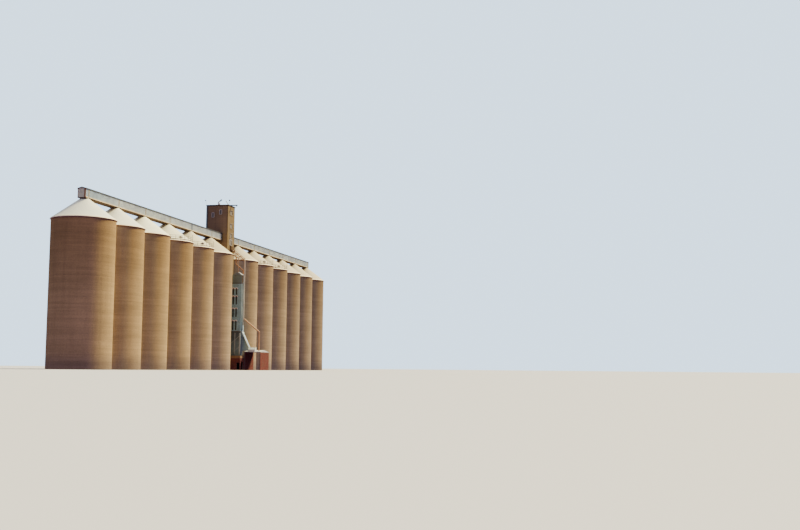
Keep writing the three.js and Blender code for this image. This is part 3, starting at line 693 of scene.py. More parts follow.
def ribbed_sheet(length, rise, cuts=()):
    """A ribbed sheet along X and up Z, its ribs upright and towards -Y. Cuts trim it to a slope."""
    folds = len(RIB_SHARES)
    ribs = max(1, round(length / RIB_PITCH))
    bm = bmesh.new()
    bmesh.ops.create_grid(bm, x_segments=folds * ribs, y_segments=1, size=0.5)
    for vert in bm.verts:
        rib, fold = divmod(round((vert.co.x + 0.5) * folds * ribs), folds)
        along = (rib + RIB_SHARES[fold]) * length / ribs
        vert.co = Vector((along, -RIB_LIFTS[fold] * RIB_DEPTH, (vert.co.y + 0.5) * rise))
    for point, normal in cuts:
        geometry = bm.verts[:] + bm.edges[:] + bm.faces[:]
        bmesh.ops.bisect_plane(bm, geom=geometry, plane_co=point, plane_no=normal, clear_outer=True)
    bmesh.ops.recalc_face_normals(bm, faces=bm.faces[:])
    bmesh.ops.solidify(bm, geom=bm.faces[:], thickness=SHEET_THICKNESS)
    if bm.calc_volume(signed=True) < 0:
        bmesh.ops.reverse_faces(bm, faces=bm.faces[:])
    return bm


def quarter_turn(point, turns):
    """The place at a point, turned about the upright axis by quarter turns."""
    return Matrix.Translation(point) @ Matrix.Rotation(turns * math.pi / 2, 4, "Z")


def add_bar(bm, start, end, width, depth=None, up=Vector((0.0, 0.0, 1.0))):
    """A straight bar of square or flat section, its depth lying towards up."""
    start, end = Vector(start), Vector(end)
    forward = (end - start).normalized()
    side = forward.cross(up).normalized()
    turn = Matrix((side, forward, side.cross(forward))).transposed().to_4x4()
    size = Matrix.Diagonal((width, (end - start).length, depth or width, 1.0))
    bmesh.ops.create_cube(bm, size=1.0, matrix=Matrix.Translation((start + end) / 2) @ turn @ size)


def add_twins(bm, low, high, axis):
    """A box, and its mirror image across the plant's middle plane on that axis."""
    low, high = Vector(low), Vector(high)
    add_block(bm, low, high)
    low[axis], high[axis] = -high[axis], -low[axis]
    add_block(bm, low, high)


def use_material(node_name, material):
    """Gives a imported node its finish."""
    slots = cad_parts[node_name].data.materials
    slots.clear()
    slots.append(material)


first_bay = ("X", bin_middles["bin_01"] + FIRST_BAY_REACH, bin_middles["bin_02"], GALLERY_SHEET)
gallery_sheet = steel("gallery_sheet", FIRST_BAY_SHEET, 0.28, GALLERY_DIRT, 0.45, shine=0.25, fade=first_bay)
end_sheet = steel("end_sheet", END_SHEET, 0.3, GALLERY_DIRT, shine=0.2)
roof_sheet = steel("roof_sheet", GALLERY_ROOF, 0.3, GALLERY_DIRT, 0.45, shine=0.25)
flashing_and_shade = steel("flashing_and_shade", FLASHING_AND_SHADE_COLOUR, 0.2)
cover_strip = steel("cover_strip", STRIP_COLOUR, 0.25, GALLERY_DIRT, 0.45, shine=0.25)
sill_paint = steel("sill_paint", SILL_COLOUR, 0.2, GALLERY_DIRT, 0.45, shine=0.25)
blue_strip = steel("blue_strip", BLUE_STRIP, 0.2, GALLERY_DIRT, 0.45)
corner_trim = steel("corner_trim", CORNER_COLOUR, 0.4, shine=0.25)
gallery_floor = concrete("gallery_floor", GALLERY_FLOOR, CONCRETE_STAIN, 0.3)

for label, outwards in (("gallery_west", -1), ("gallery_east", 1)):
    use_material(f"{label}_floor", gallery_floor)
    front_low, front_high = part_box(f"{label}_front_wall")
    back_low, back_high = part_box(f"{label}_back_wall")
    end_low, end_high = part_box(f"{label}_end_wall")
    roof_low, roof_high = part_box(f"{label}_roof")
    length = front_high.x - front_low.x
    rise = front_high.z - front_low.z

    for side, point, turns in (
        ("front", (front_low.x, front_low.y + RIB_DEPTH, front_low.z), 0),
        ("back", (back_high.x, back_high.y - RIB_DEPTH, back_low.z), 2),
    ):
        sheet = placed(ribbed_sheet(length, rise), quarter_turn(point, turns))
        finish_piece(f"{label}_{side}_sheet", sheet, gallery_sheet, "gallery_sheet", f"{label}_{side}_wall")

    end_width = end_high.y - end_low.y
    gable_rise = end_high.z - front_high.z
    shoulder = front_high.z - end_low.z
    cuts = [
        (Vector((0.0, 0.0, shoulder)), Vector((-gable_rise, 0.0, end_width / 2))),
        (Vector((end_width, 0.0, shoulder)), Vector((gable_rise, 0.0, end_width / 2))),
    ]
    if outwards < 0:
        place = quarter_turn((end_low.x + RIB_DEPTH, end_high.y, end_low.z), -1)
        end_x, tower_x, outer_x = roof_low.x, roof_high.x, end_low.x
    else:
        place = quarter_turn((end_high.x - RIB_DEPTH, end_low.y, end_low.z), 1)
        end_x, tower_x, outer_x = roof_high.x, roof_low.x, end_high.x
    sheet = placed(ribbed_sheet(end_width, end_high.z - end_low.z, cuts), place)
    finish_piece(f"{label}_end_sheet", sheet, end_sheet, "gallery_sheet", f"{label}_end_wall")

    eave = roof_low.z + EAVE_LIFT
    overhang = roof_high.y
    fall = math.atan2(roof_high.z - eave, overhang)
    slope_length = math.hypot(roof_high.z - eave, overhang)
    lean = Matrix.Rotation(fall - math.pi / 2, 4, "X")
    sunk = Vector((0.0, math.sin(fall), -math.cos(fall))) * RIB_DEPTH
    front_eave = Vector((roof_low.x, -overhang, eave)) + sunk
    back_eave = Vector((roof_high.x, overhang, eave)) + Vector((0.0, -sunk.y, sunk.z))
    ridge = roof_high.z - RIDGE_DROP
    bm = bmesh.new()
    for corner, turns in ((front_eave, 0), (back_eave, 2)):
        sheet = ribbed_sheet(roof_high.x - roof_low.x, slope_length)
        add_mesh(bm, sheet, quarter_turn(corner, turns) @ lean)
    add_tube(bm, (roof_low.x, 0.0, ridge), (roof_high.x, 0.0, ridge), RIDGE_RADIUS, 12)
    finish_piece(f"{label}_roof_sheet", bm, roof_sheet, "gallery_sheet", f"{label}_roof")

    # Dark flashing at the eaves and round the tower joint; hanging deep below the eave, it is partly painted
    # shade under the overhang.
    bm = bmesh.new()
    add_twins(
        bm, (roof_low.x, overhang - FLASHING_SHEET, eave - EAVE_FLASHING_AND_SHADE),
        (roof_high.x, overhang, eave + FLASHING_LAP), 1,
    )
    barge_x = end_x - outwards * BARGE_SIZE[0] / 2
    for side in (-1, 1):
        barge_foot = (barge_x, side * overhang, eave - BARGE_DROP)
        add_bar(bm, barge_foot, (barge_x, 0.0, roof_high.z - BARGE_DROP), *BARGE_SIZE)
    collar_low, collar_high = sorted((tower_x, tower_x + outwards * COLLAR_LENGTH))
    add_twins(bm, (collar_low, COLLAR_FACES[0], front_low.z), (collar_high, COLLAR_FACES[1], eave), 1)
    finish_piece(f"{label}_flashing", bm, flashing_and_shade, "dark_slab")

    bm = bmesh.new()
    sill_low = (front_low.x, SILL_FACES[0], front_low.z)
    add_twins(bm, sill_low, (front_high.x, SILL_FACES[1], front_low.z + SILL_HEIGHT), 1)
    finish_piece(f"{label}_sill", bm, sill_paint, "gallery_sheet")

    strips, blue = bmesh.new(), bmesh.new()
    for bin_label, middle_x in bin_middles.items():
        if middle_x * outwards > 0:
            add_twins(
                blue if bin_label == "bin_05" else strips,
                (middle_x - STRIP_HALF, STRIP_FACES[0], front_low.z),
                (middle_x + STRIP_HALF, STRIP_FACES[1], eave - EAVE_FLASHING_AND_SHADE), 1,
            )
    finish_piece(f"{label}_cover_strips", strips, cover_strip, "gallery_sheet")
    if blue.verts:
        finish_piece(f"{label}_blue_cover_strip", blue, blue_strip, "gallery_sheet")

    bm = bmesh.new()
    near_x, far_x = sorted((outer_x - outwards * CORNER_LAP, outer_x + outwards * CORNER_PROUD))
    add_block(bm, (near_x, end_low.y, end_low.z), (far_x, end_low.y + CORNER_TRIM, front_high.z))
    add_block(bm, (near_x, end_high.y - BACK_CORNER_TRIM, end_low.z), (far_x, end_high.y, front_high.z))
    finish_piece(f"{label}_corner_trim", bm, corner_trim, "brown_steel")

# Elevator tower. Its four walls are board-marked concrete, rendered golden on the front and back,
# and bare and dark with soot and damp on the two sides. The floors inside are plain slabs.
TOWER_LIFT = 0.120
TOWER_FRONT = (0.275, 0.195, 0.098, 1.0)
TOWER_SIDE = (0.29, 0.195, 0.117, 1.0)
TOWER_STAIN = (0.20, 0.125, 0.075, 1.0)
SLAB_COLOUR = (0.22, 0.19, 0.16, 1.0)

tower_front = concrete("tower_front", TOWER_FRONT, TOWER_STAIN, 0.35, TOWER_LIFT)
tower_side = concrete("tower_side", TOWER_SIDE, TOWER_STAIN, 0.5, TOWER_LIFT)
slab_concrete = concrete("slab_concrete", SLAB_COLOUR, TOWER_STAIN, 0.3)
for material, parts in (
    (tower_front, ("front_wall", "back_wall")),
    (tower_side, ("west_wall", "east_wall")),
    (slab_concrete, ("ground_floor", "floor_1", "floor_2", "floor_3")),
):
    for part in parts:
        use_material(f"tower_{part}", material)

front_wall_low, front_wall_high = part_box("tower_front_wall")
tower_half = front_wall_high.x
tower_front_y = front_wall_low.y
tower_back_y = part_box("tower_back_wall")[1].y

# Tower windows. Steel sashes with slim bars are set in raised cement surrounds over a sloping sill.
# The side panes are dark, and those at the front and back are dull with flour dust. The lowest of
# these has the pale surround of the side windows, cut short over the door.
WINDOW_HOLES_FRONT = (
    (0.200, 0.130, 4.857), (0.200, 0.130, 4.436), (0.200, 0.130, 4.126), (0.180, 0.150, 3.905),
)
WINDOW_HOLES_SIDE = ((0.220, 4.755), (-0.034, 4.844))
SIDE_WINDOW = (0.080, 0.150)
SASH_DEPTH = 0.010
SASH_BAR = 0.0045
UPRIGHT_BAR_HALF = 0.003
CROSS_BAR_HALF = 0.0025
PANE_HALF = 0.0006
SURROUND_PROUD = 0.003
SURROUND_BACK = 0.004
SILL_PROUD = 0.007
SILL_SIDE = 0.003
SILL_BACK = 0.012
FRONT_MARGIN = 0.026
SHORT_FOOT = 0.013
SIDE_FOOT = 0.006
SIDE_FRAME_OUT = 0.009
SIDE_FRAME_IN = 0.013
SIDE_FRAME_ROUND = 0.022
SIDE_FRAME_DEPTH = 0.008
SURROUND_COLOUR = (0.30, 0.235, 0.155, 1.0)
SIDE_FRAME_COLOUR = (0.47, 0.42, 0.36, 1.0)
SASH_COLOUR = (0.33, 0.29, 0.21, 1.0)
DARK_GLASS = (0.135, 0.120, 0.100, 1.0)
DUSTY_GLASS = (0.27, 0.225, 0.155, 1.0)


def window_parts(width, rise, columns, rows, margin, foot):
    """The surround, sash and panes of a window, from the middle of its sill, facing -Y."""
    surround, sash, panes = bmesh.new(), bmesh.new(), bmesh.new()
    half = width / 2
    outer = half + margin
    if margin:
        add_block(surround, (-outer, -SURROUND_PROUD, rise), (outer, SURROUND_BACK, rise + margin))
        add_twins(surround, (half, -SURROUND_PROUD, 0.0), (outer, SURROUND_BACK, rise), 0)
    sill_half = outer + SILL_SIDE
    add_block(surround, (-sill_half, -SILL_PROUD, -foot), (sill_half, SILL_BACK, 0.0))
    soften(surround, 0.0008)
    front, back = SASH_DEPTH - UPRIGHT_BAR_HALF, SASH_DEPTH + UPRIGHT_BAR_HALF
    for column in range(columns + 1):
        bar_x = -half + column * (width - SASH_BAR) / columns
        add_block(sash, (bar_x, front, 0.0), (bar_x + SASH_BAR, back, rise))
    front, back = SASH_DEPTH - CROSS_BAR_HALF, SASH_DEPTH + CROSS_BAR_HALF
    for row in range(rows + 1):
        bar_z = row * (rise - SASH_BAR) / rows
        add_block(sash, (-half, front, bar_z), (half, back, bar_z + SASH_BAR))
    add_block(panes, (-half, SASH_DEPTH - PANE_HALF, 0.0), (half, SASH_DEPTH + PANE_HALF, rise))
    return surround, sash, panes


def rounded_frame(width, rise):
    """A flat frame with rounded corners that laps over the edge of a hole, facing -Y."""
    frame_bm = bmesh.new()
    for spread, corner in ((SIDE_FRAME_OUT, SIDE_FRAME_ROUND), (-SIDE_FRAME_IN, SIDE_FRAME_ROUND / 2)):
        half = width / 2 + spread - corner
        low, high = corner - spread, rise + spread - corner
        corners = ((half, high, 0), (-half, high, 90), (-half, low, 180), (half, low, 270))
        loop = []
        for middle_x, middle_z, start in corners:
            for step in range(5):
                angle = math.radians(start + 22.5 * step)
                loop.append((middle_x + corner * math.cos(angle), 0.0, middle_z + corner * math.sin(angle)))
        join_loop(frame_bm, loop)
    bmesh.ops.bridge_loops(frame_bm, edges=frame_bm.edges[:])
    bmesh.ops.recalc_face_normals(frame_bm, faces=frame_bm.faces[:])
    bmesh.ops.solidify(frame_bm, geom=frame_bm.faces[:], thickness=SIDE_FRAME_DEPTH)
    front = min(vert.co.y for vert in frame_bm.verts)
    return placed(frame_bm, Matrix.Translation((0.0, -SURROUND_PROUD - front, 0.0)))


def glass_material(name, tint, roughness):
    """Panes that read as solid from outside, with dust gathered in clouds."""
    material, tree, shader = new_material(name, roughness=roughness, specular_ior_level=0.35)
    dust = ranged(tree, noise(tree, object_place(tree), 22.0, 4.0), 0.3, 0.7)
    paler = tuple(min(1.0, part * 1.5 + 0.01) for part in tint[:3]) + (1.0,)
    tree.links.new(mix_colours(tree, dust, tint, paler), shader.inputs["Base Color"])
    return material


surround_cement = concrete("surround_cement", SURROUND_COLOUR, TOWER_STAIN, 0.2)
side_frame = concrete("side_frame", SIDE_FRAME_COLOUR, TOWER_STAIN, 0.15)
sash_paint = steel("sash_paint", SASH_COLOUR, 0.25, gloss=0.45, bump=0.0002)
dark_glass = glass_material("dark_glass", DARK_GLASS, 0.12)
dusty_glass = glass_material("dusty_glass", DUSTY_GLASS, 0.4)

surrounds, sashes, front_panes, side_panes, side_frames = (bmesh.new() for _ in range(5))
for face_y, turns in ((tower_front_y, 0), (tower_back_y, 2)):
    for width, rise, sill in WINDOW_HOLES_FRONT:
        place = quarter_turn((0.0, face_y, sill), turns)
        lowest = sill == WINDOW_HOLES_FRONT[-1][2]
        foot = SHORT_FOOT if lowest else FRONT_MARGIN
        surround, sash, panes = window_parts(width, rise, 5, 3, FRONT_MARGIN, foot)
        add_mesh(side_frames if lowest else surrounds, surround, place)
        add_mesh(sashes, sash, place)
        add_mesh(front_panes, panes, place)
for face_x, turns in ((-tower_half, -1), (tower_half, 1)):
    for middle_y, sill in WINDOW_HOLES_SIDE:
        place = quarter_turn((face_x, middle_y, sill), turns)
        surround, sash, panes = window_parts(*SIDE_WINDOW, 1, 2, 0.0, SIDE_FOOT)
        add_mesh(surrounds, surround, place)
        add_mesh(sashes, sash, place)
        add_mesh(side_panes, panes, place)
        add_mesh(side_frames, rounded_frame(*SIDE_WINDOW), place)
finish_piece("tower_window_surrounds", surrounds, surround_cement, "tower_concrete")
finish_piece("tower_window_sashes", sashes, sash_paint, "gallery_sheet")
finish_piece("tower_side_frames", side_frames, side_frame, "tower_concrete")
finish_piece("tower_front_panes", front_panes, dusty_glass, "dark_slab")
finish_piece("tower_side_panes", side_panes, dark_glass, "dark_slab")

# Tower roof. A concrete slab with a dark felted edge carries the hoist beam over the front, two thin
# posts with small lamps, and a cranked floodlight and a strut along its west edge. A dark sheet-metal
# service duct climbs the back corner, held by flat bands.
ROOF_THICKNESS = 0.015
ROOF_OVERHANG = 0.015
ROOF_EDGE = 0.004
ROOF_EDGE_WIDTH = 0.010
BEAM_FROM = -0.120
BEAM_TO = -0.475
BEAM_HALF = 0.008
BEAM_FLANGE = 0.002
BEAM_WEB_HALF = 0.001
BEAM_CLEAR = 0.006
BEAM_DEPTH = 0.028
BEAM_STAND = (0.009, 0.007)
STAND_FROM_END = 0.020
STAND_FROM_WALL = 0.015
TROLLEY_HALF = 0.007
TROLLEY_SIZE = 0.020
TROLLEY_FROM_END = 0.012
SHEAVE_DROP = 0.022
SHEAVE = 0.009
LAMP_X = -0.283
LAMP_POLES = (
    ((LAMP_X, 0.428, -0.003), (LAMP_X, 0.480, 0.146), 0.0030),
    ((LAMP_X, 0.060, -0.003), (LAMP_X, 0.056, 0.088), 0.0120),
    ((LAMP_X, 0.056, 0.088), (LAMP_X, -0.004, 0.128), 0.0120),
    ((-0.200, -0.280, -0.003), (-0.200, -0.283, 0.146), 0.0030),
    ((LAMP_X, -0.286, -0.003), (LAMP_X, -0.195, 0.125), 0.0115),
)
LAMP_FOOT_TOP = 0.004
LAMP_FOOT_RIM = 0.006
LAMP_HEADS = (
    ((LAMP_X, 0.480, 0.150), 0.032, 0.026, 0.0),
    ((LAMP_X, -0.030, 0.142), 0.078, 0.034, -38.0),
    ((-0.200, -0.283, 0.150), 0.036, 0.034, 0.0),
)
LAMP_GEAR = ((LAMP_X, 0.030, 0.042), 0.056, 0.076)
DUCT_WIDTH = 0.050
DUCT_DEPTH = 0.012
DUCT_BAND = 0.300
FIRST_DUCT_BAND = 0.050
DUCT_FOOT_GAP = 0.005
DUCT_HEAD_GAP = 0.001
DUCT_BAND_HEIGHT = 0.006
DUCT_BAND_LAP = 0.003
DUCT_BAND_PROUD = 0.001
FELT_COLOUR = (0.050, 0.052, 0.056, 1.0)
DUCT_COLOUR = (0.13, 0.14, 0.142, 1.0)
LAMP_COLOUR = (0.055, 0.065, 0.075, 1.0)
HOIST_COLOUR = (0.075, 0.080, 0.095, 1.0)
POLE_COLOUR = (0.62, 0.57, 0.48, 1.0)
GEAR_COLOUR = (0.80, 0.82, 0.80, 1.0)

felt = concrete("felt", FELT_COLOUR, TOWER_STAIN, 0.3, shine=0.15)
duct_paint = steel("duct_paint", DUCT_COLOUR, 0.15)
lamp_paint = steel("lamp_paint", LAMP_COLOUR, 0.3, gloss=0.45, bump=0.0002)
hoist_paint = steel("hoist_paint", HOIST_COLOUR, 0.35)
pole_paint = steel("pole_paint", POLE_COLOUR, 0.4, gloss=0.45, bump=0.0002)
gear_paint = steel("gear_paint", GEAR_COLOUR, 0.2, gloss=0.45, bump=0.0002)

slab_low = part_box("tower_roof")[0].z
slab_high = slab_low + ROOF_THICKNESS
slab_front = tower_front_y - ROOF_OVERHANG
slab_back = tower_back_y + ROOF_OVERHANG
slab_half = tower_half + ROOF_OVERHANG
bm = bmesh.new()
add_block(bm, (-slab_half, slab_front, slab_low), (slab_half, slab_back, slab_high))
soften(bm, 0.002)
finish_piece("tower_roof_slab", bm, felt, "dark_slab", "tower_roof")
edge_top = slab_high + ROOF_EDGE
bm = bmesh.new()
for edge_y in (slab_front, slab_back - ROOF_EDGE_WIDTH):
    add_block(bm, (-slab_half, edge_y, slab_high), (slab_half, edge_y + ROOF_EDGE_WIDTH, edge_top))
add_twins(bm, (slab_half - ROOF_EDGE_WIDTH, slab_front, slab_high), (slab_half, slab_back, edge_top), 0)
finish_piece("tower_roof_kerb", bm, felt, "dark_slab")

beam_low = slab_high + BEAM_CLEAR
beam_high = beam_low + BEAM_DEPTH
web_low, web_high = beam_low + BEAM_FLANGE, beam_high - BEAM_FLANGE
bm = bmesh.new()
for half, low, high in (
    (BEAM_HALF, beam_low, web_low), (BEAM_HALF, web_high, beam_high), (BEAM_WEB_HALF, web_low, web_high),
):
    add_block(bm, (-half, BEAM_TO, low), (half, BEAM_FROM, high))
stand_half, stand_deep = BEAM_STAND
for stand_y in (BEAM_FROM - STAND_FROM_END, tower_front_y + STAND_FROM_WALL):
    stand_top = (stand_half, stand_y + stand_deep, beam_low)
    add_block(bm, (-stand_half, stand_y - stand_deep, slab_high), stand_top)
trolley_y = BEAM_TO + TROLLEY_FROM_END
trolley_low = (-TROLLEY_HALF, trolley_y, beam_low - TROLLEY_SIZE)
add_block(bm, trolley_low, (TROLLEY_HALF, trolley_y + TROLLEY_SIZE, beam_low))
sheave_y, sheave_z = trolley_y + TROLLEY_SIZE / 2, beam_low - SHEAVE_DROP
add_tube(bm, (-SHEAVE, sheave_y, sheave_z), (SHEAVE, sheave_y, sheave_z), SHEAVE)
finish_piece("hoist_beam", bm, hoist_paint, "dark_slab")


def add_lamp(bm, centre, length, width, tilt=0.0):
    """A box with rounded edges, its length along Y, tilted about X, on the roof's slab."""
    lamp = bmesh.new()
    add_block(lamp, (-width / 2, -length / 2, -width / 2), (width / 2, length / 2, width / 2))
    soften(lamp, width * 0.28, 3)
    turn = Matrix.Rotation(math.radians(tilt), 4, "X")
    add_mesh(bm, lamp, Matrix.Translation(on_slab + Vector(centre)) @ turn)


on_slab = Vector((0.0, 0.0, slab_high))
poles, heads, gear = bmesh.new(), bmesh.new(), bmesh.new()
for foot, top, radius in LAMP_POLES:
    add_tube(poles, on_slab + Vector(foot), on_slab + Vector(top), radius, 12)
    if foot[2] < 0:
        foot_top = Vector((foot[0], foot[1], LAMP_FOOT_TOP))
        add_tube(poles, on_slab + Vector(foot), on_slab + foot_top, radius + LAMP_FOOT_RIM, 12)
for lamp_sizes in LAMP_HEADS:
    add_lamp(heads, *lamp_sizes)
add_lamp(gear, *LAMP_GEAR)
finish_piece("floodlight_poles", poles, pole_paint, "dark_slab")
finish_piece("floodlight_heads", heads, lamp_paint, "dark_slab")
finish_piece("floodlight_gear", gear, gear_paint, "dark_slab")

duct_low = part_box("gallery_west_roof")[1].z + DUCT_FOOT_GAP
duct_high = slab_low - DUCT_HEAD_GAP
duct_x = -tower_half - DUCT_DEPTH
duct_y = tower_back_y - DUCT_WIDTH
bm = bmesh.new()
add_block(bm, (duct_x, duct_y, duct_low), (-tower_half, tower_back_y, duct_high))
band_z = duct_low + FIRST_DUCT_BAND
while band_z < duct_high:
    add_block(
        bm, (duct_x - DUCT_BAND_PROUD, duct_y - DUCT_BAND_LAP, band_z),
        (-tower_half, tower_back_y + DUCT_BAND_PROUD, band_z + DUCT_BAND_HEIGHT),
    )
    band_z += DUCT_BAND
finish_piece("tower_service_duct", bm, duct_paint, "dark_slab")

# Platform at the tower's upper door. A steel deck on two slanting struts has tube rails and toe
# boards, all painted brown long ago, and a steel frame lines the doorway behind it.
PLATFORM_PAINT = (0.20, 0.115, 0.070, 1.0)
DECK_THICKNESS = 0.012
PLANKS = 9
PLANK_THICKNESS = 0.003
PLANK_GAP = 0.0006
JOIST = 0.006
EDGE_BEAM = 0.004
EDGE_UP = 0.010
EDGE_PLATE = 0.0015
HANDRAIL = 0.125
LOWER_RAILS = (0.085, 0.045)
RAIL_TUBE = 0.0032
RAIL_POST = 0.0036
RAIL_INSET = 0.003
POST_FROM_WALL = 0.004
POST_BELOW_DECK = 0.008
STRUT_FROM_WALL = 0.002
STRUT_DROP = 0.110
STRUT_HEAD = 0.010
DOOR = (0.045, 3.722, 3.887)
DOOR_FRAME = (0.005, 0.004, 0.002, 0.027)

platform_paint = steel("platform_paint", PLATFORM_PAINT, 0.6, bump=0.0004)
deck_low, deck_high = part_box("tower_door_platform")
deck_top = deck_high.z - HANDRAIL
under_planks = deck_top - PLANK_THICKNESS
deck_under = deck_top - DECK_THICKNESS
west, east, front_y = deck_low.x, deck_high.x, deck_low.y
wall_y = tower_front_y - SEAT_GAP
bm = bmesh.new()
plank = (wall_y - front_y) / PLANKS
for number in range(PLANKS):
    plank_y = front_y + number * plank
    add_block(bm, (west, plank_y + PLANK_GAP, under_planks), (east, plank_y + plank - PLANK_GAP, deck_top))
for edge_x in (west, east - JOIST, (west + east) / 2):
    add_block(bm, (edge_x, front_y, deck_under), (edge_x + JOIST, wall_y, under_planks))
add_block(bm, (west, front_y, deck_under), (east, front_y + EDGE_BEAM, deck_top + EDGE_UP))
for edge_x in (west, east - EDGE_PLATE):
    add_block(bm, (edge_x, front_y, deck_top), (edge_x + EDGE_PLATE, wall_y, deck_top + EDGE_UP))
rail_west, rail_east, rail_y = west + RAIL_INSET, east - RAIL_INSET, front_y + RAIL_INSET
for height in (deck_top + HANDRAIL - RAIL_TUBE, *(deck_top + up for up in LOWER_RAILS)):
    add_tube(bm, (rail_west, rail_y, height), (rail_east, rail_y, height), RAIL_TUBE, 10)
    for rail_x in (rail_west, rail_east):
        add_tube(bm, (rail_x, rail_y, height), (rail_x, wall_y, height), RAIL_TUBE, 10)
front_places = (rail_west, (2 * west + east) / 3, (west + 2 * east) / 3, rail_east)
posts = [(post_x, rail_y) for post_x in front_places]
posts += [(post_x, wall_y - POST_FROM_WALL) for post_x in (rail_west, rail_east)]
for post in posts:
    add_tube(bm, (*post, deck_top - POST_BELOW_DECK), (*post, deck_top + HANDRAIL), RAIL_POST, 10)
for strut_x in (rail_west, rail_east):
    strut_foot = (strut_x, wall_y - STRUT_FROM_WALL, deck_top - STRUT_DROP)
    add_bar(bm, strut_foot, (strut_x, front_y + STRUT_HEAD, deck_top - STRUT_HEAD), JOIST)
finish_piece("door_platform", bm, platform_paint, "brown_steel", "tower_door_platform")
door_half, door_sill, door_head = DOOR
frame_in, frame_out, frame_proud, frame_deep = DOOR_FRAME
frame_front, frame_back = tower_front_y - frame_proud, tower_front_y + frame_deep
bm = bmesh.new()
frame_half = door_half + frame_out
add_twins(bm, (door_half - frame_in, frame_front, door_sill), (frame_half, frame_back, door_head), 0)
add_block(
    bm, (-frame_half, frame_front, door_head - frame_in), (frame_half, frame_back, door_head + frame_out),
)
finish_piece("tower_door_frame", bm, platform_paint, "brown_steel")

# Load-out pipe and its lattice bridge. A round steel spout falls from the tower through an angle-iron
# bridge and drops beside the drier. Its last arm, painted orange, slants out to the shed. Flanged
# joints hold the lengths together.
LOADOUT_RADIUS = 0.020
PIPE_X = 0.130
PIPE_Y = -0.712
LOADOUT_RUN = (
    (PIPE_X, tower_front_y, 3.767),
    (PIPE_X, PIPE_Y, 3.440),
    (PIPE_X, PIPE_Y, 1.606),
    (0.200, -1.216, 1.188),
    (0.200, -1.216, 0.598),
)
PIPE_SIDES = 24
FLANGE_SPACING = 0.300
FLANGE_HALF = 0.0025
FLANGE_RIM = 0.0035
BEND_SWELL = 1.12
PIPE_CREAM = (0.82, 0.68, 0.46, 1.0)
SPOUT_ORANGE = (0.74, 0.44, 0.23, 1.0)
BRIDGE_PAINT = (0.62, 0.42, 0.24, 1.0)

pipe_cream = steel("pipe_cream", PIPE_CREAM, 0.35, gloss=0.45, bump=0.0004)
spout_orange = steel("spout_orange", SPOUT_ORANGE, 0.3, gloss=0.45, bump=0.0004)
bridge_paint = steel("bridge_paint", BRIDGE_PAINT, 0.55, bump=0.0004)


def piped(points, radius, spacing=FLANGE_SPACING):
    """A round pipe through the points, with a ball at each bend and flanges along its lengths."""
    bm = bmesh.new()
    points = [Vector(point) for point in points]
    for start, end in zip(points, points[1:]):
        add_tube(bm, start, end, radius, PIPE_SIDES)
        reach = end - start
        lengths = max(1, int(reach.length / spacing))
        for joint in range(1, lengths):
            centre = start + reach * (joint / lengths)
            half = reach.normalized() * FLANGE_HALF
            add_tube(bm, centre - half, centre + half, radius + FLANGE_RIM, PIPE_SIDES)
    for bend in points[1:-1]:
        ball = Matrix.Translation(bend)
        bmesh.ops.create_uvsphere(
            bm, u_segments=PIPE_SIDES, v_segments=PIPE_SIDES // 2, radius=radius * BEND_SWELL, matrix=ball,
        )
    return bm


finish_piece("loadout_spout", piped(LOADOUT_RUN[:3], LOADOUT_RADIUS), pipe_cream, "tan_pipe", "loadout_pipe")
finish_piece("loadout_arm", piped(LOADOUT_RUN[2:], LOADOUT_RADIUS), spout_orange, "tan_pipe")
use_material("spout_bridge", bridge_paint)

# Feed pipes of the drier. One thin steel pipe runs from the tower to the peak of the drier's lid, and
# a thicker brown branch leaves it and bends down into an inlet by the lid's corner.
FEED_RADIUS = 0.012
BRANCH_RADIUS = 0.016
BRANCH_JOINTS = 0.140
BRANCH_SHARE = 0.71
DRIER_MIDDLE_Y = -0.5525
DRIER_PEAK = 3.040
INLET = (0.084, -0.686, 2.975)
FEED_START = Vector((0.060, tower_front_y + 0.020, 3.652))
FEED_BEND = Vector((0.0, DRIER_MIDDLE_Y, 3.478))
FEED_PAINT = (0.74, 0.50, 0.29, 1.0)
BRANCH_PAINT = (0.62, 0.33, 0.15, 1.0)

feed_paint = steel("feed_paint", FEED_PAINT, 0.4, gloss=0.45, bump=0.0004)
branch_paint = steel("branch_paint", BRANCH_PAINT, 0.4, gloss=0.45, bump=0.0004)
at_wall = FEED_START.lerp(FEED_BEND, (FEED_START.y - tower_front_y) / (FEED_START.y - FEED_BEND.y))
feed = piped((at_wall, FEED_BEND, (0.0, DRIER_MIDDLE_Y, DRIER_PEAK)), FEED_RADIUS)
finish_piece("drier_main_feed", feed, feed_paint, "tan_pipe", "drier_feed_pipes")
fork = FEED_START.lerp(FEED_BEND, BRANCH_SHARE)
branch_run = (fork, (fork.x, fork.y, 3.307), (INLET[0], INLET[1], 3.109), INLET)
branch = piped(branch_run, BRANCH_RADIUS, BRANCH_JOINTS)
finish_piece("drier_branch_feed", branch, branch_paint, "brown_steel")

# Grain drier. A tall column of galvanised ribbed sheet stands on a panelled housing with posts and
# braces, with a bin and a folded lid on top. Arched hoods cover its fan outlets, over louvred slots.
# Painted shade and light: the slots are near black for the hollow behind the slats, the column's front
# is darker low down, and the housing is darker at its top and lighter at its foot.
HOOD_ROWS = (-0.550, -0.449)
HOOD_SLOTS = ((1.505, 0.270), (1.885, 0.240), (2.265, 0.230), (2.512, 0.175))
HOOD_RADIUS = 0.050
HOOD_RIM = 0.020
HOOD_DEPTH = 0.028
HOOD_STEPS = 12
SLOT_HALF = 0.018
SLOT_PROUD = 0.0025
SLOT_SUNK = 0.001
FIRST_SLAT = 0.012
SLAT_PITCH = 0.016
SLAT_OUT = 0.005
SLAT_SIZE = (0.007, 0.0012)
SLAT_LEAN = Vector((-0.7, 0.0, 0.7))
CORE_INSET = 0.005
POST_INSIDE = 0.095
POST_PROUD = 0.002
POST_GAP = 0.040
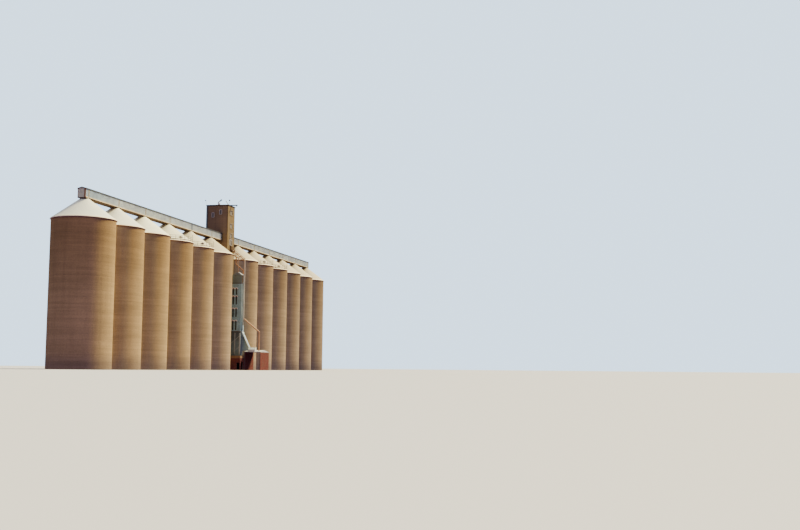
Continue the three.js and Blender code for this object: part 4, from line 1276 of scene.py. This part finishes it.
POST_PLACES = ((-0.712, -0.666), (-0.538, -0.514))
BRACE_HEIGHTS = (0.50, 0.83)
BRACE_RISE = 0.24
BRACE_INSET = 0.012
BRACE_WIDTH = 0.010
BAND_HEIGHT = 0.030
BAND_DROP = 0.004
BAND_PROUD = Vector((0.002, 0.002, BAND_HEIGHT / 2))
LID_HALF = 0.107
LID_LOW = 2.947
LID_LAP = 0.005
LID_PEAK_HALVES = (0.014, 0.022)
INLET_FOOT = 2.940
INLET_COLLAR = 0.005
INLET_SHEET = 0.003
CHUTE_X = 0.010
CHUTE_WIDTH = 0.150
CHUTE_DEPTH = 0.012
CHUTE_FOOT = 2.955
CHUTE_FROM_PEAK = 0.030
CHUTE_LAP = 0.002
SHEET_GREEN = (0.39, 0.56, 0.55, 1.0)
# The column's front is painted darker low down, as painted shade.
FRONT_LOW_SHADED = (0.31, 0.40, 0.38, 1.0)
SHEET_DARK = (0.17, 0.195, 0.19, 1.0)
FRONT_PALE = (0.50, 0.55, 0.45, 1.0)
TOP_BIN_COLOUR = (0.26, 0.315, 0.265, 1.0)
TOP_FRONT_COLOUR = (0.29, 0.22, 0.13, 1.0)
LID_COLOUR = (0.19, 0.19, 0.16, 1.0)
CHUTE_COLOUR = (0.72, 0.72, 0.66, 1.0)
# Near black: painted shade in the hollow behind the slats.
LOUVRE_SHADE_COLOUR = (0.060, 0.056, 0.046, 1.0)
HOOD_COLOUR = (1.00, 0.88, 0.78, 1.0)
FRAME_COLOUR = (0.15, 0.155, 0.145, 1.0)
# The housing is painted darker at its top as painted shade, and lighter at its foot as painted light.
HOUSING_UPPER_SHADED = (0.13, 0.155, 0.150, 1.0)
HOUSING_LOWER_LIT = (0.21, 0.275, 0.26, 1.0)
HOUSING_POST = (0.46, 0.51, 0.45, 1.0)

green_sheet = steel("green_sheet", SHEET_GREEN, 0.5, SHEET_DARK, shine=0.2)
# Painted shade: the front is darker below 1.45 and paler above 1.75.
front_shade_fade = ("Z", 1.45, 1.75, FRONT_PALE)
front_sheet = steel("front_sheet", FRONT_LOW_SHADED, 0.55, SHEET_DARK, shine=0.2, fade=front_shade_fade)
top_bin_sheet = steel("top_bin_sheet", TOP_BIN_COLOUR, 0.4, SHEET_DARK, shine=0.2)
top_front_sheet = steel("top_front_sheet", TOP_FRONT_COLOUR, 0.4, SHEET_DARK, shine=0.2)
dark_steel = steel("dark_steel", FRAME_COLOUR, 0.35)
lid_sheet = steel("lid_sheet", LID_COLOUR, 0.3, SHEET_DARK, shine=0.2)
chute_sheet = steel("chute_sheet", CHUTE_COLOUR, 0.15, SHEET_DARK, shine=0.2)
hood_sheet = steel("hood_sheet", HOOD_COLOUR, 0.2, SHEET_DARK, shine=0.2)
louvre_shade_paint = steel("louvre_shade_paint", LOUVRE_SHADE_COLOUR, 0.15, gloss=0.6, shine=0.2)
# Painted shade and light: darker above 1.00, lighter below 0.84.
housing_light_and_shade_fade = ("Z", 0.84, 1.00, HOUSING_UPPER_SHADED)
housing_sheet = steel("housing_sheet", HOUSING_LOWER_LIT, 0.5, SHEET_DARK, shine=0.2, fade=housing_light_and_shade_fade)
post_paint = steel("post_paint", HOUSING_POST, 0.45, shine=0.2)

column_low = Vector((-0.102, -0.710, 1.1903))
column_high = Vector((0.102, -0.395, 2.700))
top_low = Vector((-0.102, -0.710, 2.7003))
top_high = Vector((0.102, -0.395, 2.949))
fronts = []
for name, node_name, low, high, side_paint, front_paint in (
    ("column", "drier_column", column_low, column_high, green_sheet, front_sheet),
    ("top", "drier_top_bin", top_low, top_high, top_bin_sheet, top_front_sheet),
):
    width, depth, rise = high - low
    inset = Vector((CORE_INSET, CORE_INSET, 0.0))
    bm = bmesh.new()
    add_block(bm, low + inset, high - inset)
    for length, point, turns in (
        (width, (high.x, high.y - RIB_DEPTH, low.z), 2),
        (depth, (low.x + RIB_DEPTH, high.y, low.z), -1),
        (depth, (high.x - RIB_DEPTH, low.y, low.z), 1),
    ):
        add_mesh(bm, ribbed_sheet(length, rise), quarter_turn(point, turns))
    finish_piece(f"drier_{name}_sheets", bm, side_paint, "drier_sheet", node_name)
    front = placed(ribbed_sheet(width, rise), quarter_turn((low.x, low.y + RIB_DEPTH, low.z), 0))
    fronts.append((f"drier_{name}_front", front, front_paint))
for name, front, front_paint in fronts:
    finish_piece(name, front, front_paint, "drier_sheet")

use_material("drier_hopper_frame", housing_sheet)
housing_low, housing_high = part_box("drier_hopper_frame")
bm = bmesh.new()
post_foot, post_head = housing_low.z + POST_GAP, housing_high.z - POST_GAP
for post_front, post_back in POST_PLACES:
    add_twins(
        bm, (POST_INSIDE, post_front, post_foot), (housing_high.x + POST_PROUD, post_back, post_head), 0,
    )
for brace_x in (-POST_INSIDE, POST_INSIDE):
    for brace_z in BRACE_HEIGHTS:
        brace_foot = (brace_x, housing_high.y - BRACE_INSET, brace_z)
        brace_head = (brace_x, housing_low.y + BRACE_INSET, brace_z + BRACE_RISE)
        add_bar(bm, brace_foot, brace_head, POST_PROUD * 2, BRACE_WIDTH)
soften(bm, 0.0012)
finish_piece("drier_housing_posts", bm, post_paint, "drier_frame")

bm = bmesh.new()
for band_z in (top_low.z - BAND_DROP, column_low.z):
    band_low, band_high = column_low.copy(), column_high.copy()
    band_low.z = band_high.z = band_z
    add_block(bm, band_low - BAND_PROUD, band_high + BAND_PROUD)
soften(bm, 0.001)
finish_piece("drier_bands", bm, dark_steel, "drier_frame")

lid = bmesh.new()
lid_depth = (column_high.y - column_low.y) / 2 + LID_LAP
for across, deep, height in ((LID_HALF, lid_depth, LID_LOW), (*LID_PEAK_HALVES, DRIER_PEAK)):
    near, far = DRIER_MIDDLE_Y - deep, DRIER_MIDDLE_Y + deep
    join_loop(lid, [
        (-across, near, height), (across, near, height), (across, far, height), (-across, far, height),
    ])
bmesh.ops.bridge_loops(lid, edges=lid.edges[:])
bmesh.ops.holes_fill(lid, edges=lid.edges[:], sides=0)
bmesh.ops.recalc_face_normals(lid, faces=lid.faces[:])
inlet_x, inlet_y, inlet_top = INLET
for low, rim in ((INLET_FOOT, INLET_SHEET), (inlet_top - INLET_COLLAR, 2 * INLET_SHEET)):
    add_tube(lid, (inlet_x, inlet_y, low), INLET, BRANCH_RADIUS + rim, PIPE_SIDES)
finish_piece("drier_lid", lid, lid_sheet, "drier_sheet")

chute = bmesh.new()
chute_foot = (CHUTE_X, column_low.y - CHUTE_LAP, CHUTE_FOOT)
chute_head = (CHUTE_X, DRIER_MIDDLE_Y - CHUTE_FROM_PEAK, DRIER_PEAK - CHUTE_LAP)
add_bar(chute, chute_foot, chute_head, CHUTE_WIDTH, CHUTE_DEPTH)
finish_piece("drier_lid_chute", chute, chute_sheet, "drier_sheet")

hoods, louvres = bmesh.new(), bmesh.new()
face_x = column_low.x
hood_turns = [math.pi * step / HOOD_STEPS for step in range(HOOD_STEPS + 1)]
for row_y in HOOD_ROWS:
    for top_z, drop in HOOD_SLOTS:
        arch = bmesh.new()
        for radius in (HOOD_RADIUS - HOOD_RIM, HOOD_RADIUS):
            curve = [(0.0, radius * math.cos(turn), radius * math.sin(turn)) for turn in hood_turns]
            join_loop(arch, curve, closed=False)
        bmesh.ops.bridge_loops(arch, edges=arch.edges[:])
        bmesh.ops.recalc_face_normals(arch, faces=arch.faces[:])
        bmesh.ops.solidify(arch, geom=arch.faces[:], thickness=HOOD_DEPTH)
        outer_x = min(vert.co.x for vert in arch.verts)
        add_mesh(hoods, arch, Matrix.Translation((face_x - HOOD_DEPTH - outer_x, row_y, top_z)))
        low_y, high_y = row_y - SLOT_HALF, row_y + SLOT_HALF
        slot_top = top_z + HOOD_RADIUS - HOOD_RIM
        # The near-black block behind the slats is painted shade for the hollow of the outlet.
        add_block(louvres, (face_x - SLOT_PROUD, low_y, top_z - drop), (face_x + SLOT_SUNK, high_y, slot_top))
        slat_z = top_z - drop + FIRST_SLAT
        while slat_z < top_z:
            slat_ends = [(face_x - SLAT_OUT, end_y, slat_z) for end_y in (low_y, high_y)]
            add_bar(louvres, *slat_ends, *SLAT_SIZE, SLAT_LEAN)
            slat_z += SLAT_PITCH
finish_piece("drier_fan_hoods", hoods, hood_sheet, "drier_sheet")
finish_piece("drier_louvres", louvres, louvre_shade_paint, "drier_frame")

# Ladder up the drier's front. Two flat stringers and round rungs are held off the sheet by brackets,
# and a cage of flat hoops and upright straps guards it along the column.
LADDER_X = 0.030
LADDER_HALF = 0.022
STRINGER_HALVES = (0.001, 0.0035)
RUNG_PITCH = 0.030
RUNG_RADIUS = 0.0012
LADDER_FOOT = 0.445
LADDER_GAP = 0.0005
LADDER_OFF = 0.012
LADDER_ABOVE = 0.030
BRACKET_PITCH = 0.240
BRACKET_HEIGHT = 0.005
BRACKET_LAP = 0.004
FIRST_BRACKET = 0.060
LAST_BRACKET = 0.040
CAGE_RADIUS = 0.036
CAGE_SHEET = 0.001
CAGE_PITCH = 0.075
CAGE_FOOT = 1.420
HOOP_HEIGHT = 0.005
STRAP_HALF = 0.002
STRAP_ANGLES = (225.0, 270.0, 315.0)
LADDER_COLOUR = (0.62, 0.62, 0.56, 1.0)

ladder_steel = steel("ladder_steel", LADDER_COLOUR, 0.3, gloss=0.45, bump=0.0002)
ladder_y = column_low.y - LADDER_OFF
ladder_top = top_high.z + LADDER_ABOVE
stringer_half, stringer_deep = STRINGER_HALVES
strings = (LADDER_X - LADDER_HALF, LADDER_X + LADDER_HALF)
bm = bmesh.new()
for string_x in strings:
    west, east = string_x - stringer_half, string_x + stringer_half
    low = (west, ladder_y - stringer_deep, LADDER_FOOT + LADDER_GAP)
    add_block(bm, low, (east, ladder_y + stringer_deep, ladder_top))
    bracket_z = column_low.z + FIRST_BRACKET
    while bracket_z < ladder_top - LAST_BRACKET:
        bracket_high = (east, column_low.y + BRACKET_LAP, bracket_z + BRACKET_HEIGHT)
        add_block(bm, (west, ladder_y, bracket_z), bracket_high)
        bracket_z += BRACKET_PITCH
rung_z = LADDER_FOOT + RUNG_PITCH
while rung_z < ladder_top:
    add_tube(bm, *((string_x, ladder_y, rung_z) for string_x in strings), RUNG_RADIUS, 8)
    rung_z += RUNG_PITCH
hoop_section = flat_section(CAGE_RADIUS - CAGE_SHEET, CAGE_RADIUS, 0.0, HOOP_HEIGHT)
hoop_z = CAGE_FOOT
while hoop_z + CAGE_PITCH < ladder_top:
    place = Matrix.Translation((LADDER_X, ladder_y, hoop_z)) @ Matrix.Rotation(math.pi, 4, "Z")
    swept_arc(bm, hoop_section, place, math.pi, 12)
    hoop_z += CAGE_PITCH
strap_outer = CAGE_RADIUS - CAGE_SHEET
for angle in STRAP_ANGLES:
    place = Matrix.Translation((LADDER_X, ladder_y, 0.0)) @ Matrix.Rotation(math.radians(angle), 4, "Z")
    low = (strap_outer - CAGE_SHEET, -STRAP_HALF, CAGE_FOOT)
    add_block(bm, low, (strap_outer, STRAP_HALF, hoop_z), place)
finish_piece("drier_ladder", bm, ladder_steel, "drier_sheet")

# Discharge duct. A pipe and a square sloping duct of bright zinc sheet lead from the drier's foot to a
# box with a sloping lid on the shed's roof. Angle flanges stiffen the duct, and a green plate backs it.
DUCT_SIDE = 0.054
DUCT_FLANGES = (0.25, 0.5, 0.75)
DUCT_FLANGE_HALF = 0.002
DUCT_FLANGE_RIM = 0.008
DUCT_SHEET = 0.010
DROP_PIPE = (0.018, 0.190)
PLATE_X = 0.102
BOX_BACK = -0.890
BOX_FRONT = -1.110
BOX_MIDDLE = 0.200
BOX_SEAM = 0.003
SEAM_INSET = 0.002
BOX_SEAM_PROUD = 0.001
PLATE_OUTLINE = ((-0.7113, 1.110), (-0.7113, 0.600), (-0.905, 0.600), (-0.905, 0.735))
BOX_OUTLINE = ((0.110, 0.565), (0.270, 0.565), (0.270, 0.705), (0.190, 0.705), (0.110, 0.640))
DUCT_ZINC = (0.90, 1.0, 0.97, 1.0)
BOX_COLOUR = (0.70, 0.71, 0.62, 1.0)
PLATE_COLOUR = (0.44, 0.58, 0.45, 1.0)


def add_prism(bm, outline, depth, place):
    """A flat shape given as (x, z) points, made thick towards +Y, then put in its place."""
    prism = bmesh.new()
    face = prism.faces.new([prism.verts.new((across, 0.0, up)) for across, up in outline])
    pushed = bmesh.ops.extrude_face_region(prism, geom=[face])["geom"]
    moved = [part for part in pushed if isinstance(part, bmesh.types.BMVert)]
    bmesh.ops.translate(prism, vec=(0.0, depth, 0.0), verts=moved)
    bmesh.ops.recalc_face_normals(prism, faces=prism.faces[:])
    add_mesh(bm, prism, place)


zinc = {"Paint": DUCT_ZINC, "Rust": SHEET_DARK, "Worn": 0.08, "Gloss": 0.38}
pale_duct, _ = finished_material("pale_duct", metal_finish, zinc, 0.0002, metallic=1.0)
box_sheet = steel("box_sheet", BOX_COLOUR, 0.25, SHEET_DARK, shine=0.25)
plate_sheet = steel("plate_sheet", PLATE_COLOUR, 0.3, SHEET_DARK, shine=0.2)
slope_top = Vector((0.048, -0.6903, 1.232))
slope_foot = Vector((0.118, -0.938, 0.690))
flange_reach = (slope_foot - slope_top).normalized() * DUCT_FLANGE_HALF
bm = bmesh.new()
add_bar(bm, slope_top, slope_foot, DUCT_SIDE)
soften(bm, DUCT_SIDE * 0.3, 4)
for share in DUCT_FLANGES:
    centre = slope_top.lerp(slope_foot, share)
    add_bar(bm, centre - flange_reach, centre + flange_reach, DUCT_SIDE + DUCT_FLANGE_RIM)
pipe_radius, pipe_rise = DROP_PIPE
pipe_foot = Vector((0.057, -0.7293, 1.200))
add_tube(bm, pipe_foot, pipe_foot + Vector((0.0, 0.0, pipe_rise)), pipe_radius, PIPE_SIDES)
finish_piece("discharge_duct", bm, pale_duct, "pale_duct", "drier_discharge_duct")
bm = bmesh.new()
add_prism(bm, BOX_OUTLINE, BOX_BACK - BOX_FRONT, Matrix.Translation((0.0, BOX_FRONT, 0.0)))
lip = []
for across, up in BOX_OUTLINE:
    lip.append((across + math.copysign(BOX_SEAM_PROUD, across - BOX_MIDDLE), up + BOX_SEAM_PROUD))
for seam_y in (BOX_FRONT + SEAM_INSET, (BOX_FRONT + BOX_BACK) / 2, BOX_BACK - BOX_SEAM - SEAM_INSET):
    add_prism(bm, lip, BOX_SEAM, Matrix.Translation((0.0, seam_y, 0.0)))
finish_piece("discharge_box", bm, box_sheet, "pale_duct")
bm = bmesh.new()
add_prism(bm, PLATE_OUTLINE, -DUCT_SHEET, quarter_turn((PLATE_X, 0.0, 0.0), 1))
finish_piece("discharge_plate", bm, plate_sheet, "pale_duct")

# Brick room under the drier, and the shed's brick walls. Fired red bricks are laid in stretcher bond
# in grey mortar, with raked joints. The room has an ochre concrete roof band.
BRICK_LENGTH = 0.0222
BRICK_HEIGHT = 0.0073
MORTAR = 0.0010
BRICK_PROUD = 0.0007
BRICK_BACK = 0.0006
SHORTEST_BRICK = 0.003
BRICK_SEED = 11
FRONT_DOOR = (-0.150, 0.010, 0.015, 0.250)
SIDE_DOOR = (0.658, 0.748, 0.015, 0.225)
BRICK_RED = (0.16, 0.046, 0.036, 1.0)
BRICK_PALE = (0.29, 0.105, 0.070, 1.0)
MORTAR_COLOUR = (0.24, 0.18, 0.14, 1.0)
OCHRE = (0.36, 0.23, 0.12, 1.0)
random_tone = random.Random(BRICK_SEED)


def lay_bricks(bm, width, rise, place, hole=None):
    """Stretcher courses on a wall's face along local X, facing -Y, cut round an (x0, x1, z0, z1) hole."""
    if not bm.faces.layers.float.get("tone"):
        bm.faces.layers.float.new("tone")
    course = 0
    bottom = MORTAR
    while bottom + BRICK_HEIGHT < rise:
        top = bottom + BRICK_HEIGHT
        row = bmesh.new()
        tone = row.faces.layers.float.new("tone")
        left = -(course % 2) * (BRICK_LENGTH + MORTAR) / 2
        while left < width:
            start, end = max(left, 0.0), min(left + BRICK_LENGTH, width)
            bricks = [(start, end)]
            if hole and top > hole[2] and bottom < hole[3]:
                bricks = [(start, min(end, hole[0])), (max(start, hole[1]), end)]
            for start, end in bricks:
                if end - start < SHORTEST_BRICK:
                    continue
                corners = add_block(row, (start, -BRICK_PROUD, bottom), (end, BRICK_BACK, top))
                shade = random_tone.random()
                for face in {face for corner in corners for face in corner.link_faces}:
                    face[tone] = shade
            left += BRICK_LENGTH + MORTAR
        add_mesh(bm, row, place)
        bottom = top + MORTAR
        course += 1


brick_red, tree, shader = new_material("brick_red", roughness=0.9, specular_ior_level=0.15)
tone = new_node(tree, "ShaderNodeAttribute", attribute_name="tone").outputs["Fac"]
fired = mix_colours(tree, tone, BRICK_RED, BRICK_PALE)
soot = ranged(tree, noise(tree, object_place(tree), 9.0, 5.0), 0.45, 0.7, 0.0, 0.55)
tree.links.new(mix_colours(tree, soot, fired, TOWER_STAIN), shader.inputs["Base Color"])
add_relief(tree, shader, 400.0, 0.0003)
mortar = concrete("mortar", MORTAR_COLOUR, TOWER_STAIN, 0.3, shine=0.1)
ochre_plaster = concrete("ochre_plaster", OCHRE, TOWER_STAIN, 0.35)

for node_name in ("drier_base_walls", "intake_shed_front_wall", "intake_shed_back_wall"):
    use_material(node_name, mortar)
use_material("drier_base_roof", ochre_plaster)
base_low, base_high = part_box("drier_base_walls")
width, depth, rise = base_high - base_low
front_door = (FRONT_DOOR[0] - base_low.x, FRONT_DOOR[1] - base_low.x, *FRONT_DOOR[2:])
side_door = (base_high.y + SIDE_DOOR[0], base_high.y + SIDE_DOOR[1], *SIDE_DOOR[2:])
bm = bmesh.new()
lay_bricks(bm, width, rise, quarter_turn((base_low.x, base_low.y, 0.0), 0), front_door)
lay_bricks(bm, depth, rise, quarter_turn((base_low.x, base_high.y, 0.0), -1), side_door)
lay_bricks(bm, depth, rise, quarter_turn((base_high.x, base_low.y, 0.0), 1))
finish_piece("brick_room_courses", bm, brick_red, "brick")
for side in ("front", "back"):
    low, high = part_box(f"intake_shed_{side}_wall")
    width, _, rise = high - low
    bm = bmesh.new()
    lay_bricks(bm, width, rise, quarter_turn((low.x, low.y, 0.0), 0))
    lay_bricks(bm, width, rise, quarter_turn((high.x, high.y, 0.0), 2))
    finish_piece(f"shed_{side}_courses", bm, brick_red, "brick")

# Intake shed's roof. White ribbed sheet lies on a low gable frame that is boxed in with white boards,
# and the sheets run down from the ridge to a small gutter at each eave.
SHED_WHITE = (0.60, 0.58, 0.50, 1.0)
SHED_EAVE = 0.573
GUTTER_RADIUS = 0.007
GUTTER_DROP = 0.004

shed_paint = steel("shed_paint", SHED_WHITE, 0.3, GALLERY_DIRT, 0.45, shine=0.25)
use_material("intake_shed_roof", shed_paint)
shed_low, shed_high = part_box("intake_shed_roof")
shed_half = (shed_high.x - shed_low.x) / 2
shed_rise = shed_high.z - SHED_EAVE
lean = Matrix.Rotation(math.atan2(shed_rise, shed_half) - math.pi / 2, 4, "X")
gutter_z = SHED_EAVE - GUTTER_DROP
bm = bmesh.new()
for eave_x, start_y, turns, gutter_x in (
    (shed_low.x, shed_high.y, -1, shed_low.x + GUTTER_RADIUS),
    (shed_high.x, shed_low.y, 1, shed_high.x - GUTTER_RADIUS),
):
    sheet = ribbed_sheet(shed_high.y - shed_low.y, math.hypot(shed_rise, shed_half))
    add_mesh(bm, sheet, quarter_turn((eave_x, start_y, SHED_EAVE), turns) @ lean)
    add_tube(bm, (gutter_x, shed_low.y, gutter_z), (gutter_x, shed_high.y, gutter_z), GUTTER_RADIUS, 12)
finish_piece("shed_roof_sheets", bm, shed_paint, "shed_roof")
